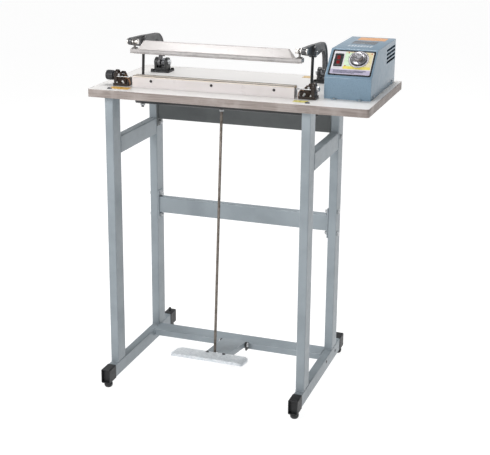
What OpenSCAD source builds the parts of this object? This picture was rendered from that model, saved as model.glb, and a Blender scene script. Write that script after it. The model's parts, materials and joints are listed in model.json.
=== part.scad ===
// Foot-pedal impulse heat sealer on a table stand.
// Frame: X to the operator's right, Y to the back, Z up, millimetres.
// Origin: on the floor, under the middle of the table.

/* [Table] */
// Width of the table board
table_w = 800; // [780:5:840]
// Depth of the table board
table_d = 422; // [420:1:440]
// Thickness of the table board
table_t = 22; // [18:1:25]
// Height of the table top above the floor
table_h = 885; // [870:1:900]

/* [Stand] */
// Width across the two end frames
stand_w = 598; // [590:1:610]
// Middle plane of the stand and the sealing head, left of the table's middle
mid_x = -58; // [-62:1:-50]
// Leg and beam tube, narrow side
tube_n = 25; // [25:1:30]
// Leg and beam tube, wide side
tube_w = 50; // [48:1:52]
// Wall of every tube
tube_wall = 1.5; // [1.2:0.1:2.5]
// Front face of the front legs behind the table's front edge
front_inset = 20; // [18:1:24]
// Front face of the rear legs behind the table's front edge
rear_inset = 330; // [326:1:334]
// Top of the floor rails above the floor
rail_top = 58; // [56:1:62]
// Height of the floor rails
rail_h = 40; // [38:1:42]
// How far the floor rails' end caps reach past the table
rail_over = 46; // [40:1:50]
// Depth of the rear apron below the table
apron_h = 127; // [110:1:130]

/* [Sealing head] */
// Middle plane of the head to the middle of each arm
arm_half = 253; // [252:1:255]
// Arm pivot behind the table's middle
pivot_y = 119; // [117:1:121]
// Arm pivot above the table top
pivot_up = 28; // [27:1:30]
// Jaw bar, half length
rail_half = 250; // [248:1:255]
// Lower jaw, half length
jaw_half = 237; // [230:1:237]

/* [Pedal] */
// Width of the tread plate
tread_w = 224; // [180:2:240]
// Depth of the tread plate
tread_d = 72; // [66:1:76]
// Angle of the pedal above level when released
pedal_deg = 8; // [6:0.5:8]

/* [Control box] */
// Left side of the box
box_x0 = 252; // [250:1:256]
// Width of the box
box_w = 128; // [126:1:130]
// Front of the box, from the table's middle
box_y0 = -106; // [-108:1:-104]
// Depth of the box
box_d = 300; // [296:1:304]
// Height of the upright front
box_front_h = 58; // [56:1:60]
// Full height of the box
box_h = 125; // [124:1:126]

/* [Hidden] */
$fn = 48;
eps = 0.01;
run_fit = 0.05;
gap = 0.3;

table_z0 = table_h - table_t;
band_t = 1.5;
front_edge = -table_d / 2;
leg_front_y = front_edge + front_inset;
leg_rear_y = front_edge + rear_inset;
leg_plate_t = 3;
stand_half = stand_w / 2;
inner_half = stand_half - tube_n;
rail_z0 = rail_top - rail_h;
rail_end_y = table_d / 2 + rail_over;
cap_wall = 1.5;
cap_len = 43;
cap_recess = 9.5;
// Middle of the side rails, which meet the legs below the apron
side_rail_z = 715;
foot_y = rail_end_y - 18;

mid_beam_z = 461;
mid_beam_y = leg_rear_y + 5;
end_plate_t = 3;
apron_y = leg_rear_y + 5;
low_beam_y0 = 78;
low_beam_d = 60;
low_beam_h = 20;

bolt_r = 4;
bolt_head_r = 7.5;
table_bolt_in = 17.5;

pivot_z = table_h + pivot_up;
pin_r = 5;
boss_r = 15;
boss_x0 = -12;
boss_x1 = -1.5;
ear_in = 12.3;
ear_t = 8;
bracket_t = 5;
coach_screw_in = 15;

// Nose of the arm, where the jaw hangs, and the pull rod's pin, both from the pivot
nose = [-226, 95];
rod_pin = [-137, 77];
web_t = 13;
nose_r = 10;
// Half the length of the shank, whose collars run just clear of the arm's faces
shank_half = web_t / 2 + 0.3;
stub_r = 7;
neck_r = 4.5;
// Inner end of the collar on each stub shaft, where the hanger turns
neck_x = 9.5;
nose_y = pivot_y + nose[0];
nose_z = pivot_z + nose[1];

jaw_bottom_z = 975;
rail_w = 26;
rail_t = 12;
strip_w = 10;
strip_t = 7;
cover_half = 226;
cover_top_half = 211;

lower_y = -123;
lower_w = 24;
lower_top = table_h + 29;
insul_t = 1;
element_t = 0.5;
ptfe_t = 0.6;
plate_t = 2;

// Pedal hinge, in front of the bottom beam's top edge
hinge_y = 64;
hinge_z = 58;
hinge_r = 4;
pin_s = 150;
pin_h = -2;
arm_back_half = 38;
arm_front_half = 34;
arm_web_h = 9;
arm_web_t = 2.5;
arm_len = 168;

rod_r = 4;
// The centre rod and the tread sit a little left of the stand's middle
link_dx = -8;
tread_dx = -9;
side_rod_r = 4;
eye_r = 9;
eye_t = 9.5;
rod_top_y = pivot_y + rod_pin[0];
rod_top_z = pivot_z + rod_pin[1];
rod_low_y = hinge_y - pin_s * cos(pedal_deg) + pin_h * sin(pedal_deg);
rod_low_z = hinge_z + pin_s * sin(pedal_deg) + pin_h * cos(pedal_deg);
rod_lean = atan2(rod_top_y - rod_low_y, rod_top_z - rod_low_z);
rod_len = norm([rod_top_y - rod_low_y, rod_top_z - rod_low_z]);
bar_at = 165;
// The linkage's loop is open at the pedal's cross pin, so its eye has this much play
pin_play = 0.8;
bar_r = 10;

box_wall = 1.5;
panel_run = 70;
panel_rise = box_h - box_front_h;
panel_deg = atan2(panel_rise, panel_run);
label_w = 117;
label_x0 = box_x0 + 7;
label_v0 = 8;
label_len = 84;
rocker_x = 279.5;
rocker_v = 58;
knob_x = 333.5;
knob_v = 63;

terminal_x = 249;
clamp_x = 263;
post_x = 284;
knob_r = 14;
spindle_r = 2.4;
knob_z = table_h + 27;

// ---------- shared shapes ----------

// Rectangle with round corners, built from plain shapes so that its corners stay true arcs
module round_rect(w, d, r) {
    square([w - 2 * r, d], center = true);
    square([w, d - 2 * r], center = true);
    for (x = [-1, 1], y = [-1, 1])
        translate([x * (w / 2 - r), y * (d / 2 - r)]) circle(r);
}

// Hollow rectangular tube along Z, centred on the origin in X and Y
module tube(w, d, len, wall = tube_wall) {
    linear_extrude(len) difference() {
        round_rect(w, d, 3);
        round_rect(w - 2 * wall, d - 2 * wall, 1.5);
    }
}

module along_x() { rotate([90, 0, 90]) children(); }
module along_y() { rotate([-90, 0, 0]) children(); }
module rod_x(r, x0, x1) { translate([x0, 0, 0]) rotate([0, 90, 0]) cylinder(r = r, h = x1 - x0); }
module hex_x(r, x0, x1) { translate([x0, 0, 0]) rotate([0, 90, 0]) cylinder(r = r, h = x1 - x0, $fn = 6); }

module at_frames() {
    for (side = [-1, 1]) translate([mid_x + side * (stand_half - tube_n / 2), 0, 0]) children();
}

// X points inwards on both sides
module at_arms() {
    for (side = [-1, 1]) translate([mid_x + side * arm_half, 0, 0]) scale([-side, 1, 1]) children();
}

function arc(c, r, a0, a1, n = 10) =
    [for (i = [0:n]) let (a = a0 + (a1 - a0) * i / n) c + r * [cos(a), sin(a)]];

// ---------- stand ----------

module leg(side, y) {
    color("lightsteelblue")
        translate([mid_x + side * (stand_half - tube_n / 2), y + tube_w / 2, rail_top])
            tube(tube_n, tube_w, table_z0 - leg_plate_t - rail_top);
}

module left_front_leg() { leg(-1, leg_front_y); }
module right_front_leg() { leg(1, leg_front_y); }

// The rear legs are drilled for the bolts of the apron and the mid beam
module rear_leg(side) {
    color("lightsteelblue") difference() {
        leg(side, leg_rear_y);
        at_frame_bolts() rod_x(bolt_r + 0.25, -40, 40);
    }
}
module left_rear_leg() { rear_leg(-1); }
module right_rear_leg() { rear_leg(1); }

module side_rails() {
    len = leg_rear_y - leg_front_y - tube_w;
    color("lightsteelblue") at_frames()
        translate([0, leg_front_y + tube_w, side_rail_z])
            along_y() tube(tube_n, tube_w, len);
}

tube_end_y = rail_end_y - cap_recess - 2.5;

module floor_rails() {
    color("lightsteelblue") difference() {
        at_frames() translate([0, -tube_end_y, rail_z0 + rail_h / 2])
            along_y() tube(tube_n, rail_h, 2 * tube_end_y);
        at_feet() translate([0, 0, rail_z0 - 1]) cylinder(r = 4.3, h = 4);
        at_tall_foot() translate([0, 0, rail_top - 3]) cylinder(r = 4.3, h = 10);
    }
}

module at_feet() { at_frames() for (y = [-foot_y, foot_y]) translate([0, y, 0]) children(); }

// The left rear foot is screwed further in than the rest, so that its stem stands out above the rail
module at_tall_foot() { translate([mid_x - stand_half + tube_n / 2, foot_y, 0]) children(); }

module rail_end_caps() {
    outer_w = tube_n + 2 * cap_wall + 0.1;
    outer_h = rail_h + 2 * cap_wall + 0.1;
    color("#202226") difference() {
        at_frames() for (end = [-1, 1]) scale([1, end, 1])
            translate([0, rail_end_y - cap_len, rail_z0 + rail_h / 2]) along_y() difference() {
                linear_extrude(cap_len) round_rect(outer_w, outer_h, 3.5);
                translate([0, 0, -1]) linear_extrude(cap_len - cap_recess - 1.5)
                    round_rect(tube_n + 0.1, rail_h + 0.1, 3);
                translate([0, 0, cap_len - cap_recess]) linear_extrude(cap_recess + 1)
                    round_rect(outer_w - 5, outer_h - 5, 2);
            }
        at_feet() translate([0, 0, rail_z0 - 3]) cylinder(r = 4.3, h = 4);
        at_tall_foot() translate([0, 0, rail_top - 3]) cylinder(r = 4.3, h = 10);
    }
}

module leveling_feet() {
    color("#2a2c30") {
        at_feet() rotate_extrude() polygon([[0, 0], [9, 0], [11, 2], [12.5, 6], [12.5, 12],
            [10, 14.5], [4, 14.5], [4, 34], [0, 34]]);
        at_tall_foot() translate([0, 0, 33]) cylinder(r = 4, h = 37);
    }
}

// Beam of rectangular tube along X with a bolted plate at each end
module plated_beam(z, y, h, plate_z0, plate_z1, bolts) {
    len = 2 * inner_half - 2 * end_plate_t;
    translate([mid_x, y + tube_n / 2, 0]) {
        translate([-len / 2, 0, z]) rotate([0, 90, 0]) tube(h, tube_n, len);
        for (side = [-1, 1]) translate([side * (inner_half - end_plate_t / 2), 0, 0]) difference() {
            translate([0, 0, (plate_z0 + plate_z1) / 2])
                cube([end_plate_t, tube_n + 12, plate_z1 - plate_z0], center = true);
            for (z = bolts) translate([0, 0, z]) rod_x(bolt_r + 0.25, -5, 5);
        }
    }
}

apron_bolts = [table_z0 - apron_h - 12];
mid_bolts = [mid_beam_z - 34, mid_beam_z + 34];

module mid_beam() {
    color("lightsteelblue")
        plated_beam(mid_beam_z, mid_beam_y, tube_w, mid_beam_z - 45, mid_beam_z + 45, mid_bolts);
}

module rear_apron() {
    h = apron_h - 5;
    color("slategray")
        plated_beam(table_z0 - 5 - h / 2, apron_y, h, table_z0 - apron_h - 22, table_z0 - 5, apron_bolts);
}

module bottom_beam() {
    len = 2 * inner_half - 2 * end_plate_t;
    color("lightsteelblue") translate([mid_x, low_beam_y0 + low_beam_d / 2, rail_top - low_beam_h / 2]) {
        translate([-len / 2, 0, 0]) rotate([0, 90, 0]) tube(low_beam_h, low_beam_d, len);
        for (side = [-1, 1]) translate([side * (inner_half - end_plate_t / 2), 0, 0])
            cube([end_plate_t, low_beam_d + 8, low_beam_h], center = true);
    }
}

// Middle of each rear leg's bolts, with X measured from the end frame's middle
module at_frame_bolts() {
    for (side = [-1, 1], z = concat(apron_bolts, mid_bolts))
        translate([mid_x + side * (stand_half - tube_n / 2), mid_beam_y + tube_n / 2, z])
            scale([side, 1, 1]) children();
}

module frame_bolts() {
    out = tube_n / 2;
    in = -tube_n / 2 - end_plate_t;
    color("gray") at_frame_bolts() {
        rod_x(bolt_r, in - 10, out + eps);
        hex_x(bolt_head_r, out, out + 5.3);
        difference() {
            hex_x(bolt_head_r, in - 6.5, in);
            rod_x(bolt_r + run_fit, in - 7, in + 1);
        }
    }
}

module at_leg_tops() {
    for (y = [leg_front_y, leg_rear_y])
        at_frames() translate([0, y + tube_w / 2, 0]) children();
}

module leg_top_plates() {
    color("lightsteelblue") difference() {
        at_leg_tops() translate([0, 0, table_z0 - leg_plate_t])
            linear_extrude(leg_plate_t) round_rect(tube_n + 16, tube_w + 12, 4);
        at_table_bolts() translate([0, 0, table_z0 - 10]) cylinder(r = 3.3, h = 20);
    }
}

// ---------- table ----------

// One bolt in the top of each leg: near the front of the front legs, near the back of the rear ones
module at_table_bolts() {
    for (leg = [[leg_front_y, -1], [leg_rear_y, 1]])
        at_frames() translate([0, leg[0] + tube_w / 2 + leg[1] * table_bolt_in, 0]) children();
}

module board_outline(inset) { round_rect(table_w - 2 * inset, table_d - 2 * inset, 8 - inset); }

module table_board() {
    color("white") difference() {
        translate([0, 0, table_z0]) linear_extrude(table_t) difference() {
            board_outline(band_t);
            at_table_bolts() circle(3.3);
            // Slots for the side pull rods, which lean and swing a little
            at_arms() translate([0, rod_top_y - 13]) round_rect(14, 38, 6.9);
        }
        at_bracket_screws() translate([0, 0, table_h - coach_screw_in - 1]) cylinder(r = 3.2, h = table_t);
    }
}

module edge_band() {
    color("#8d8580") translate([0, 0, table_z0]) linear_extrude(table_t) difference() {
        board_outline(0);
        board_outline(band_t);
    }
}

module table_bolts() {
    nut_z = table_z0 - leg_plate_t - 5.2;
    color("#3a3c40") at_table_bolts() {
        rotate_extrude() polygon(concat(
            [[0, nut_z - 4], [3, nut_z - 4], [3, table_h], [7, table_h], [7, table_h + 1]],
            arc([0, table_h - 6.5], 10.25, 47, 90, 6)));
        translate([0, 0, nut_z]) difference() {
            cylinder(r = 5.6, h = 5.2, $fn = 6);
            translate([0, 0, -1]) cylinder(r = 3.05, h = 8);
        }
    }
}

// ---------- pivot brackets ----------

module at_pivots() { at_arms() translate([0, pivot_y, 0]) children(); }
module at_bracket_screws() { at_pivots() at_base_holes() children(); }
module at_base_holes() { for (x = [-25, 25], y = [-18.5, 18.5]) translate([x, y, 0]) children(); }

module pivot_bracket() {
    color("#17181b") difference() {
        union() {
            translate([0, 0, table_h]) linear_extrude(bracket_t) round_rect(60, 48, 4);
            translate([-ear_in - 1, -boss_r, table_h]) cube([2 * ear_in + 2, 2 * boss_r, 12.5]);
            for (side = [-1, 1]) scale([side, 1, 1]) translate([ear_in, 0, 0]) {
                translate([0, -boss_r, table_h]) cube([ear_t, 2 * boss_r, pivot_up]);
                translate([0, 0, pivot_z]) rod_x(boss_r, 0, ear_t);
            }
        }
        translate([0, 0, pivot_z]) rod_x(pin_r + run_fit, -30, 30);
        at_base_holes() translate([0, 0, table_h - 1]) cylinder(r = 3.3, h = bracket_t + 2);
    }
}

module left_pivot_bracket() { translate([mid_x - arm_half, pivot_y, 0]) pivot_bracket(); }
module right_pivot_bracket() { translate([mid_x + arm_half, pivot_y, 0]) scale([-1, 1, 1]) pivot_bracket(); }

// Coach screws that end inside the board
module bracket_screws() {
    color("dimgray") at_bracket_screws() {
        translate([0, 0, table_h - coach_screw_in]) cylinder(r = 3, h = coach_screw_in + bracket_t + eps);
        translate([0, 0, table_h + bracket_t]) cylinder(r = 5.2, h = 4, $fn = 6);
    }
}

module arm_pivot_pins() {
    color("silver") at_pivots() translate([0, 0, pivot_z]) {
        rod_x(pin_r, -ear_in - ear_t - eps, ear_in + ear_t + 7);
        rod_x(8, -ear_in - ear_t - 4, -ear_in - ear_t);
        difference() {
            hex_x(8.5, ear_in + ear_t, ear_in + ear_t + 6);
            rod_x(pin_r + run_fit, ear_in, ear_in + ear_t + 8);
        }
    }
}

module arm_bushes() {
    color("peru") at_pivots() translate([0, 0, pivot_z]) difference() {
        rod_x(7.5, boss_x0, boss_x1);
        rod_x(pin_r + run_fit, boss_x0 - 1, boss_x1 + 1);
    }
}

// Torsion spring round the pivot pin: a helix whose first end presses on the bracket's base
spring_wire = 1.1;
spring_coil_r = 11.5;
spring_turns = 4;
spring_x0 = boss_x1 + 1.8;
spring_pitch = (ear_in - spring_x0 - 1.3) / spring_turns;

// Ring of points round one station of a wire
function wire_ring(p, u, v, sides) = [for (k = [0:sides - 1]) let (a = 360 * k / sides)
    p + spring_wire * (u * cos(a) + v * sin(a))];

module return_springs() {
    sides = 8;
    steps = 20 * spring_turns;
    points = [for (i = [0:steps]) let (a = 360 * spring_turns * i / steps + 200)
        each wire_ring([spring_x0 + spring_pitch * spring_turns * i / steps,
            spring_coil_r * cos(a), spring_coil_r * sin(a)], [1, 0, 0], [0, cos(a), sin(a)], sides)];
    faces = concat(
        [[for (k = [0:sides - 1]) k]],
        [for (i = [0:steps - 1], k = [0:sides - 1]) let (n = (k + 1) % sides)
            [i * sides + k, (i + 1) * sides + k, (i + 1) * sides + n, i * sides + n]],
        [[for (k = [sides - 1:-1:0]) steps * sides + k]]);
    color("silver") at_pivots() translate([0, 0, pivot_z]) polyhedron(points, faces);
}

// ---------- arms ----------

// Side outline of an arm: up from the pivot, round the shoulder and forward to the nose
arm_outline = concat(
    arc([-50, 41], 54, 0, 90, 14),
    [[-150, 102]],
    arc(nose, nose_r, 88, 262, 10),
    [[-180, 75]],
    arc(rod_pin + [0, 4], 16, 215, 290, 6),
    [[-92, 67]],
    arc([-50, 37], 34, 90, 0, 10),
    [[-13, 0], [10, 0]]);

module arm() {
    color("#4b4c50") translate([0, pivot_y, pivot_z]) difference() {
        union() {
            translate([-web_t / 2, 0, 0]) along_x() linear_extrude(web_t) polygon(arm_outline);
            rod_x(boss_r, boss_x0, boss_x1);
            translate([0, rod_pin[0], rod_pin[1] + 4]) rod_x(16, -10, 10);
        }
        translate([boss_x1, 0, 0]) rod_x(boss_r + 3, 0, 20);
        rod_x(7.5, boss_x0 - 1, boss_x1 + 1);
        translate([0, nose[0], nose[1]]) rod_x(6 + run_fit, -20, 20);
        // Slot for the eye of the side pull rod, open below
        translate([-eye_t / 2 - gap, rod_pin[0] - 13, rod_pin[1] - 30]) cube([eye_t + 2 * gap, 26, 41]);
        translate([0, rod_pin[0], rod_pin[1]]) rod_x(3.5, -20, 20);
    }
}

module left_arm() { translate([mid_x - arm_half, 0, 0]) arm(); }
module right_arm() { translate([mid_x + arm_half, 0, 0]) scale([-1, 1, 1]) arm(); }

// Stub shaft: a shank in the arm, then a collar, the neck that the hanger turns on, and a cap
module jaw_stub_shafts() {
    color("silver") at_arms() translate([0, nose_y, nose_z]) {
        rod_x(6, -shank_half, shank_half + eps);
        rod_x(stub_r, shank_half, neck_x);
        rod_x(neck_r, neck_x - eps, neck_x + 5);
        rod_x(stub_r, neck_x + 4.9, neck_x + 13.5);
        rod_x(7.5, -neck_x, -shank_half);
    }
}

module arm_rod_pins() {
    color("silver") at_arms() translate([0, rod_top_y, rod_top_z]) {
        rod_x(3.5 - run_fit, -12, 12);
        rod_x(6, -13.5, -10);
        rod_x(6, 10, 13.5);
    }
}

// ---------- upper jaw ----------

module jaw_hangers() {
    foot_z = jaw_bottom_z + strip_t - 5 + rail_t;
    color("dimgray") at_arms() translate([neck_x + 0.4, nose_y, 0]) difference() {
        union() {
            translate([0, 0, nose_z]) rod_x(8, 0, 4);
            translate([0, -4, foot_z]) cube([4, 8, nose_z - foot_z]);
            translate([-4, -9, foot_z]) cube([12, 18, 2.5]);
        }
        translate([0, 0, nose_z]) rod_x(neck_r + run_fit, -1, 7);
    }
}

module upper_jaw_rail() {
    z0 = jaw_bottom_z + 2;
    w = rail_w / 2;
    color("silver") translate([mid_x - rail_half, nose_y, z0]) along_x() linear_extrude(2 * rail_half)
        polygon([[-w, 1], [-w + 1, 0], [-strip_w / 2, 0], [-strip_w / 2, strip_t - 2],
            [strip_w / 2, strip_t - 2], [strip_w / 2, 0], [w - 1, 0], [w, 1], [w, rail_t], [-w, rail_t]]);
}

module silicone_strip() {
    color("tomato") translate([mid_x - rail_half + 8, nose_y, jaw_bottom_z]) along_x()
        linear_extrude(2 * rail_half - 16)
            polygon([[-strip_w / 2, 1], [-strip_w / 2 + 1, 0], [strip_w / 2 - 1, 0], [strip_w / 2, 1],
                [strip_w / 2, strip_t], [-strip_w / 2, strip_t]]);
}

// Folded sheet cover, a hollow trapezium that narrows to its top and ends
module upper_jaw_cover() {
    z0 = jaw_bottom_z + 2 + rail_t;
    h = 23.5;
    foot = rail_w / 2;
    top = 5;
    color("ivory") translate([mid_x, nose_y, z0]) difference() {
        intersection() {
            translate([-cover_half, 0, 0]) along_x() linear_extrude(2 * cover_half)
                polygon([[-foot, 0], [foot, 0], [top, h], [-top, h]]);
            rotate([90, 0, 0]) linear_extrude(100, center = true)
                polygon([[-cover_half, 0], [cover_half, 0], [cover_top_half, h], [-cover_top_half, h]]);
        }
        translate([-cover_top_half + 4, 0, -1]) along_x() linear_extrude(2 * cover_top_half - 8)
            polygon([[-foot + 2, 0], [foot - 2, 0], [top - 1.5, h - 0.5], [-top + 1.5, h - 0.5]]);
    }
}

// ---------- pull linkage, which leans from the arms' pins to the pedal's cross pin ----------

// Frame along the rods: origin at the arms' pins, Z up along the rods
module rod_frame() { translate([0, rod_top_y, rod_top_z]) rotate([-rod_lean, 0, 0]) children(); }

module side_pull_rods() {
    color("#1b1c1f") rod_frame() at_arms() {
        difference() {
            union() {
                rod_x(eye_r, -eye_t / 2, eye_t / 2);
                translate([0, 0, -bar_at - 20]) cylinder(r = side_rod_r, h = bar_at + 16);
            }
            rod_x(3.5 + run_fit, -10, 10);
        }
    }
}

module tie_bar() {
    color("#2b2d31") rod_frame() translate([mid_x, 0, -bar_at]) difference() {
        rod_x(bar_r, -arm_half - 20, arm_half + 20);
        rod_x(bar_r - tube_wall, -arm_half - 21, arm_half + 21);
        for (x = [-arm_half, arm_half]) translate([x, 0, -20]) cylinder(r = side_rod_r + 0.25, h = 40);
        translate([link_dx, 0, -20]) cylinder(r = rod_r + 0.25, h = 40);
    }
}

module nut_pair(r) {
    for (z = [-bar_r - 5.2, bar_r + 0.2]) translate([0, 0, z]) difference() {
        cylinder(r = 7.4, h = 5, $fn = 6);
        translate([0, 0, -1]) cylinder(r = r + run_fit, h = 7);
    }
}

module rod_nuts() {
    color("dimgray") rod_frame() translate([0, 0, -bar_at]) {
        at_arms() nut_pair(side_rod_r);
        translate([mid_x + link_dx, 0, 0]) nut_pair(rod_r);
    }
}

module centre_rod() {
    color("#5d5751") rod_frame() translate([mid_x + link_dx, 0, 0]) difference() {
        union() {
            translate([0, 0, -rod_len]) cylinder(r = rod_r, h = rod_len - bar_at + 20);
            translate([0, 0, -rod_len]) rod_x(8, -4.5, 4.5);
        }
        translate([0, 0, -rod_len]) rod_x(3 + pin_play, -10, 10);
    }
}

// ---------- pedal, in a frame at its hinge whose -Y runs along the released pedal ----------

module pedal_frame() { translate([mid_x, hinge_y, hinge_z]) rotate([-pedal_deg, 0, 0]) children(); }

module pedal_tread() {
    y0 = -arm_len + 8;
    color("gainsboro") pedal_frame() translate([tread_dx, y0 - tread_d / 2, arm_web_h]) difference() {
        union() {
            linear_extrude(3) round_rect(tread_w, tread_d, 16);
            // Rim bent down round the edge, cut away where the arm enters
            translate([0, 0, -6]) linear_extrude(6.5) difference() {
                round_rect(tread_w, tread_d, 16);
                round_rect(tread_w - 5, tread_d - 5, 13.5);
                translate([-tread_dx - arm_front_half - 4, 0]) square([2 * arm_front_half + 8, tread_d]);
            }
        }
    }
}

// Channel with a web on top and a flange down each slanting side
module pedal_arm() {
    back = 8;
    color("lightsteelblue") pedal_frame() difference() {
        union() {
            translate([0, 0, arm_web_h - arm_web_t]) linear_extrude(arm_web_t) difference() {
                polygon([[-arm_back_half, back], [arm_back_half, back], [arm_front_half, -arm_len - 20],
                    [-arm_front_half, -arm_len - 20]]);
                translate([link_dx, -pin_s]) round_rect(16, 22, 7.9);
            }
            for (side = [-1, 1]) scale([side, 1, 1]) {
                translate([0, 0, -7]) linear_extrude(arm_web_h + 6.9)
                    polygon([[arm_back_half, back - 6], [arm_back_half - 3, back - 6],
                        [arm_front_half - 3, -arm_len], [arm_front_half, -arm_len]]);
                rod_x(9, arm_back_half - 4.5, arm_back_half - 0.5);
            }
        }
        rod_x(hinge_r + run_fit, -60, 60);
        translate([0, -pin_s, pin_h]) rod_x(3 + run_fit, -60, 60);
    }
}

module pedal_cross_pin() {
    reach = arm_front_half + 6;
    color("silver") pedal_frame() translate([0, -pin_s, pin_h]) rod_x(3, -reach, reach);
}

module pedal_hinge_lugs() {
    color("#1d1e21") translate([mid_x, hinge_y, hinge_z]) for (side = [-1, 1]) scale([side, 1, 1])
        translate([arm_back_half + 0.5, 0, 0]) difference() {
            union() {
                rod_x(9, 0, 5);
                translate([0, 0, -18]) cube([5, low_beam_y0 - hinge_y, 22]);
                translate([0, -4, -18]) cube([5, 10, 18]);
            }
            rod_x(hinge_r + run_fit, -1, 6);
        }
}

module pedal_hinge_pin() {
    reach = arm_back_half + 5.5;
    color("silver") translate([mid_x, hinge_y, hinge_z]) {
        rod_x(hinge_r, -reach - eps, reach + 5);
        rod_x(7, -reach - 4, -reach);
        difference() {
            hex_x(7.5, reach, reach + 4.5);
            rod_x(hinge_r + run_fit, reach - 1, reach + 5);
        }
    }
}

// ---------- lower jaw ----------

module jaw_block(half, y0, y1, z0, z1) {
    translate([mid_x - half, y0, z0]) cube([2 * half, y1 - y0, z1 - z0]);
}

lower_front = lower_y - lower_w / 2;
lower_back = lower_y + lower_w / 2;
plate_hole_x = [-180, 0, 180];
plate_hole_z = table_h + 19;

module lower_jaw_bar() {
    color("silver") difference() {
        jaw_block(jaw_half, lower_front, lower_back, table_h, lower_top);
        at_plate_screws() along_y() cylinder(r = 2.1, h = 30, center = true);
    }
}

module at_plate_screws() { for (x = plate_hole_x) translate([mid_x + x, lower_y, plate_hole_z]) children(); }

module jaw_side_plates() {
    color("white") difference() {
        for (side = [-1, 1]) {
            y = lower_y + side * (lower_w / 2 + ptfe_t + plate_t / 2);
            jaw_block(jaw_half, y - plate_t / 2, y + plate_t / 2, table_h, lower_top - 1.5);
        }
        at_plate_screws() along_y() cylinder(r = 2.3, h = 60, center = true);
    }
}

module plate_screws() {
    out = lower_w / 2 + ptfe_t + plate_t;
    color("dimgray") at_plate_screws() for (side = [-1, 1]) scale([1, side, 1]) {
        translate([0, out - 12, 0]) along_y() cylinder(r = 2, h = 12 + eps);
        translate([0, out, 0]) along_y() cylinder(r1 = 4, r2 = 3.2, h = 2.2);
    }
}

module insulating_strip() {
    color("tan") jaw_block(jaw_half, lower_front + 4, lower_back - 4, lower_top, lower_top + insul_t);
}

// Ribbon on top of the insulation, down over both ends of the jaw and out to the clamps
module heating_element() {
    z = lower_top + insul_t;
    color("gold") {
        jaw_block(jaw_half + 1, lower_y - 2.5, lower_y + 2.5, z, z + element_t);
        for (side = [-1, 1]) translate([mid_x, 0, 0]) scale([side, 1, 1]) {
            translate([jaw_half + 0.5, lower_y - 2.5, knob_z - 3]) cube([0.5, 5, z - knob_z + 3]);
            translate([jaw_half + 0.5, lower_y - 2.5, knob_z - 3]) cube([clamp_x - jaw_half + 5, 5, 0.5]);
        }
    }
}

module ptfe_cover() {
    z = lower_top + insul_t + element_t;
    color("wheat") difference() {
        union() {
            jaw_block(jaw_half - 2, lower_front - ptfe_t, lower_back + ptfe_t, z, z + ptfe_t);
            for (side = [-1, 1]) {
                y = lower_y + side * (lower_w / 2 + ptfe_t / 2);
                jaw_block(jaw_half - 2, y - ptfe_t / 2, y + ptfe_t / 2, table_h + 4, z + eps);
            }
        }
        at_plate_screws() along_y() cylinder(r = 2.3, h = 60, center = true);
    }
}

// ---------- terminals: an insulating base with a post, a brass clamp and the left knob ----------

module at_ends() { for (side = [-1, 1]) translate([mid_x, lower_y, 0]) scale([side, 1, 1]) children(); }

module terminal_bases() {
    color("#26221f") at_ends() difference() {
        translate([0, 0, table_h]) union() {
            translate([terminal_x, -17, 0]) cube([47, 36, 7]);
            translate([terminal_x + 1, -12, 0]) cube([5, 26, 22]);
            translate([post_x, -16, 0]) cube([9, 32, 34]);
            translate([post_x, 0, 34]) rod_x(10, 0, 9);
        }
        translate([terminal_x + 10, 0, knob_z]) rod_x(spindle_r + run_fit, 0, 50);
    }
}

module terminal_clamps() {
    color("#8a6a3c") at_ends() difference() {
        union() {
            translate([clamp_x, -9, table_h + 7]) cube([16, 18, 16.5]);
            translate([clamp_x, -9, knob_z - 2.5]) cube([16, 18, 6]);
        }
        translate([clamp_x + 8, 0, table_h + 6]) cylinder(r = 2.5, h = 40);
        translate([clamp_x + 11, 0, knob_z]) rod_x(spindle_r + run_fit, 0, 20);
    }
}

module terminal_screws() {
    color("silver") at_ends() {
        translate([clamp_x + 8, 0, knob_z + 3.5]) cylinder(r = 4.5, h = 3);
        translate([clamp_x + 8, 0, table_h + 8]) cylinder(r = 2.4, h = knob_z + 3.6 - table_h - 8);
    }
    // The right clamp is held by a plain bolt
    color("gray") translate([mid_x, lower_y, knob_z]) {
        rod_x(spindle_r, clamp_x + 13, post_x + 10);
        rod_x(7, post_x + 9, post_x + 18);
    }
}

// Knurled knob on its threaded spindle, which pulls the left clamp outward
module tension_knob() {
    flutes = 12;
    color("#202124") translate([mid_x - post_x - 12, lower_y, knob_z]) scale([-1, 1, 1]) {
        rod_x(spindle_r, -20, 4);
        difference() {
            union() {
                rod_x(9, 0, 3);
                rod_x(knob_r, 3, 26);
            }
            for (i = [0:flutes - 1]) rotate([360 * i / flutes, 0, 0]) translate([0, knob_r + 1.2, 0])
                rod_x(2.4, 6, 30);
        }
    }
}

// ---------- control box ----------

// Side outline of the box from its front foot, in Y and Z
function box_outline(t) = [
    [t, 0],
    [t, box_front_h - t * tan(panel_deg / 2)],
    [panel_run + t * tan(panel_deg / 2), box_h - t],
    [box_d - t, box_h - t],
    [box_d - t, 0]];

module box_frame() { translate([box_x0, box_y0, table_h]) children(); }

// Frame on the slanting panel: X across, Y up the slope, Z outward
module panel_frame() {
    box_frame() translate([-box_x0, 0, box_front_h]) rotate([panel_deg, 0, 0]) children();
}

module box_base() {
    edge = box_wall + gap;
    flange_t = 1.5;
    color("#8fa3b3") difference() {
        box_frame() {
            translate([edge, edge, 0]) cube([box_w - 2 * edge, box_d - 2 * edge, 2]);
            for (x = [edge, box_w - edge - flange_t])
                translate([x, edge, 0]) cube([flange_t, box_d - 2 * edge, 14]);
            for (x = [22, box_w - 36]) translate([x, -9, 0]) cube([14, 9 + edge + gap, 1.5]);
        }
        at_box_screws() rod_x(2, -6, 6);
    }
}

vent_rows = 4;
vent_pitch = 11;
vent_h = 7.4;

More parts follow.
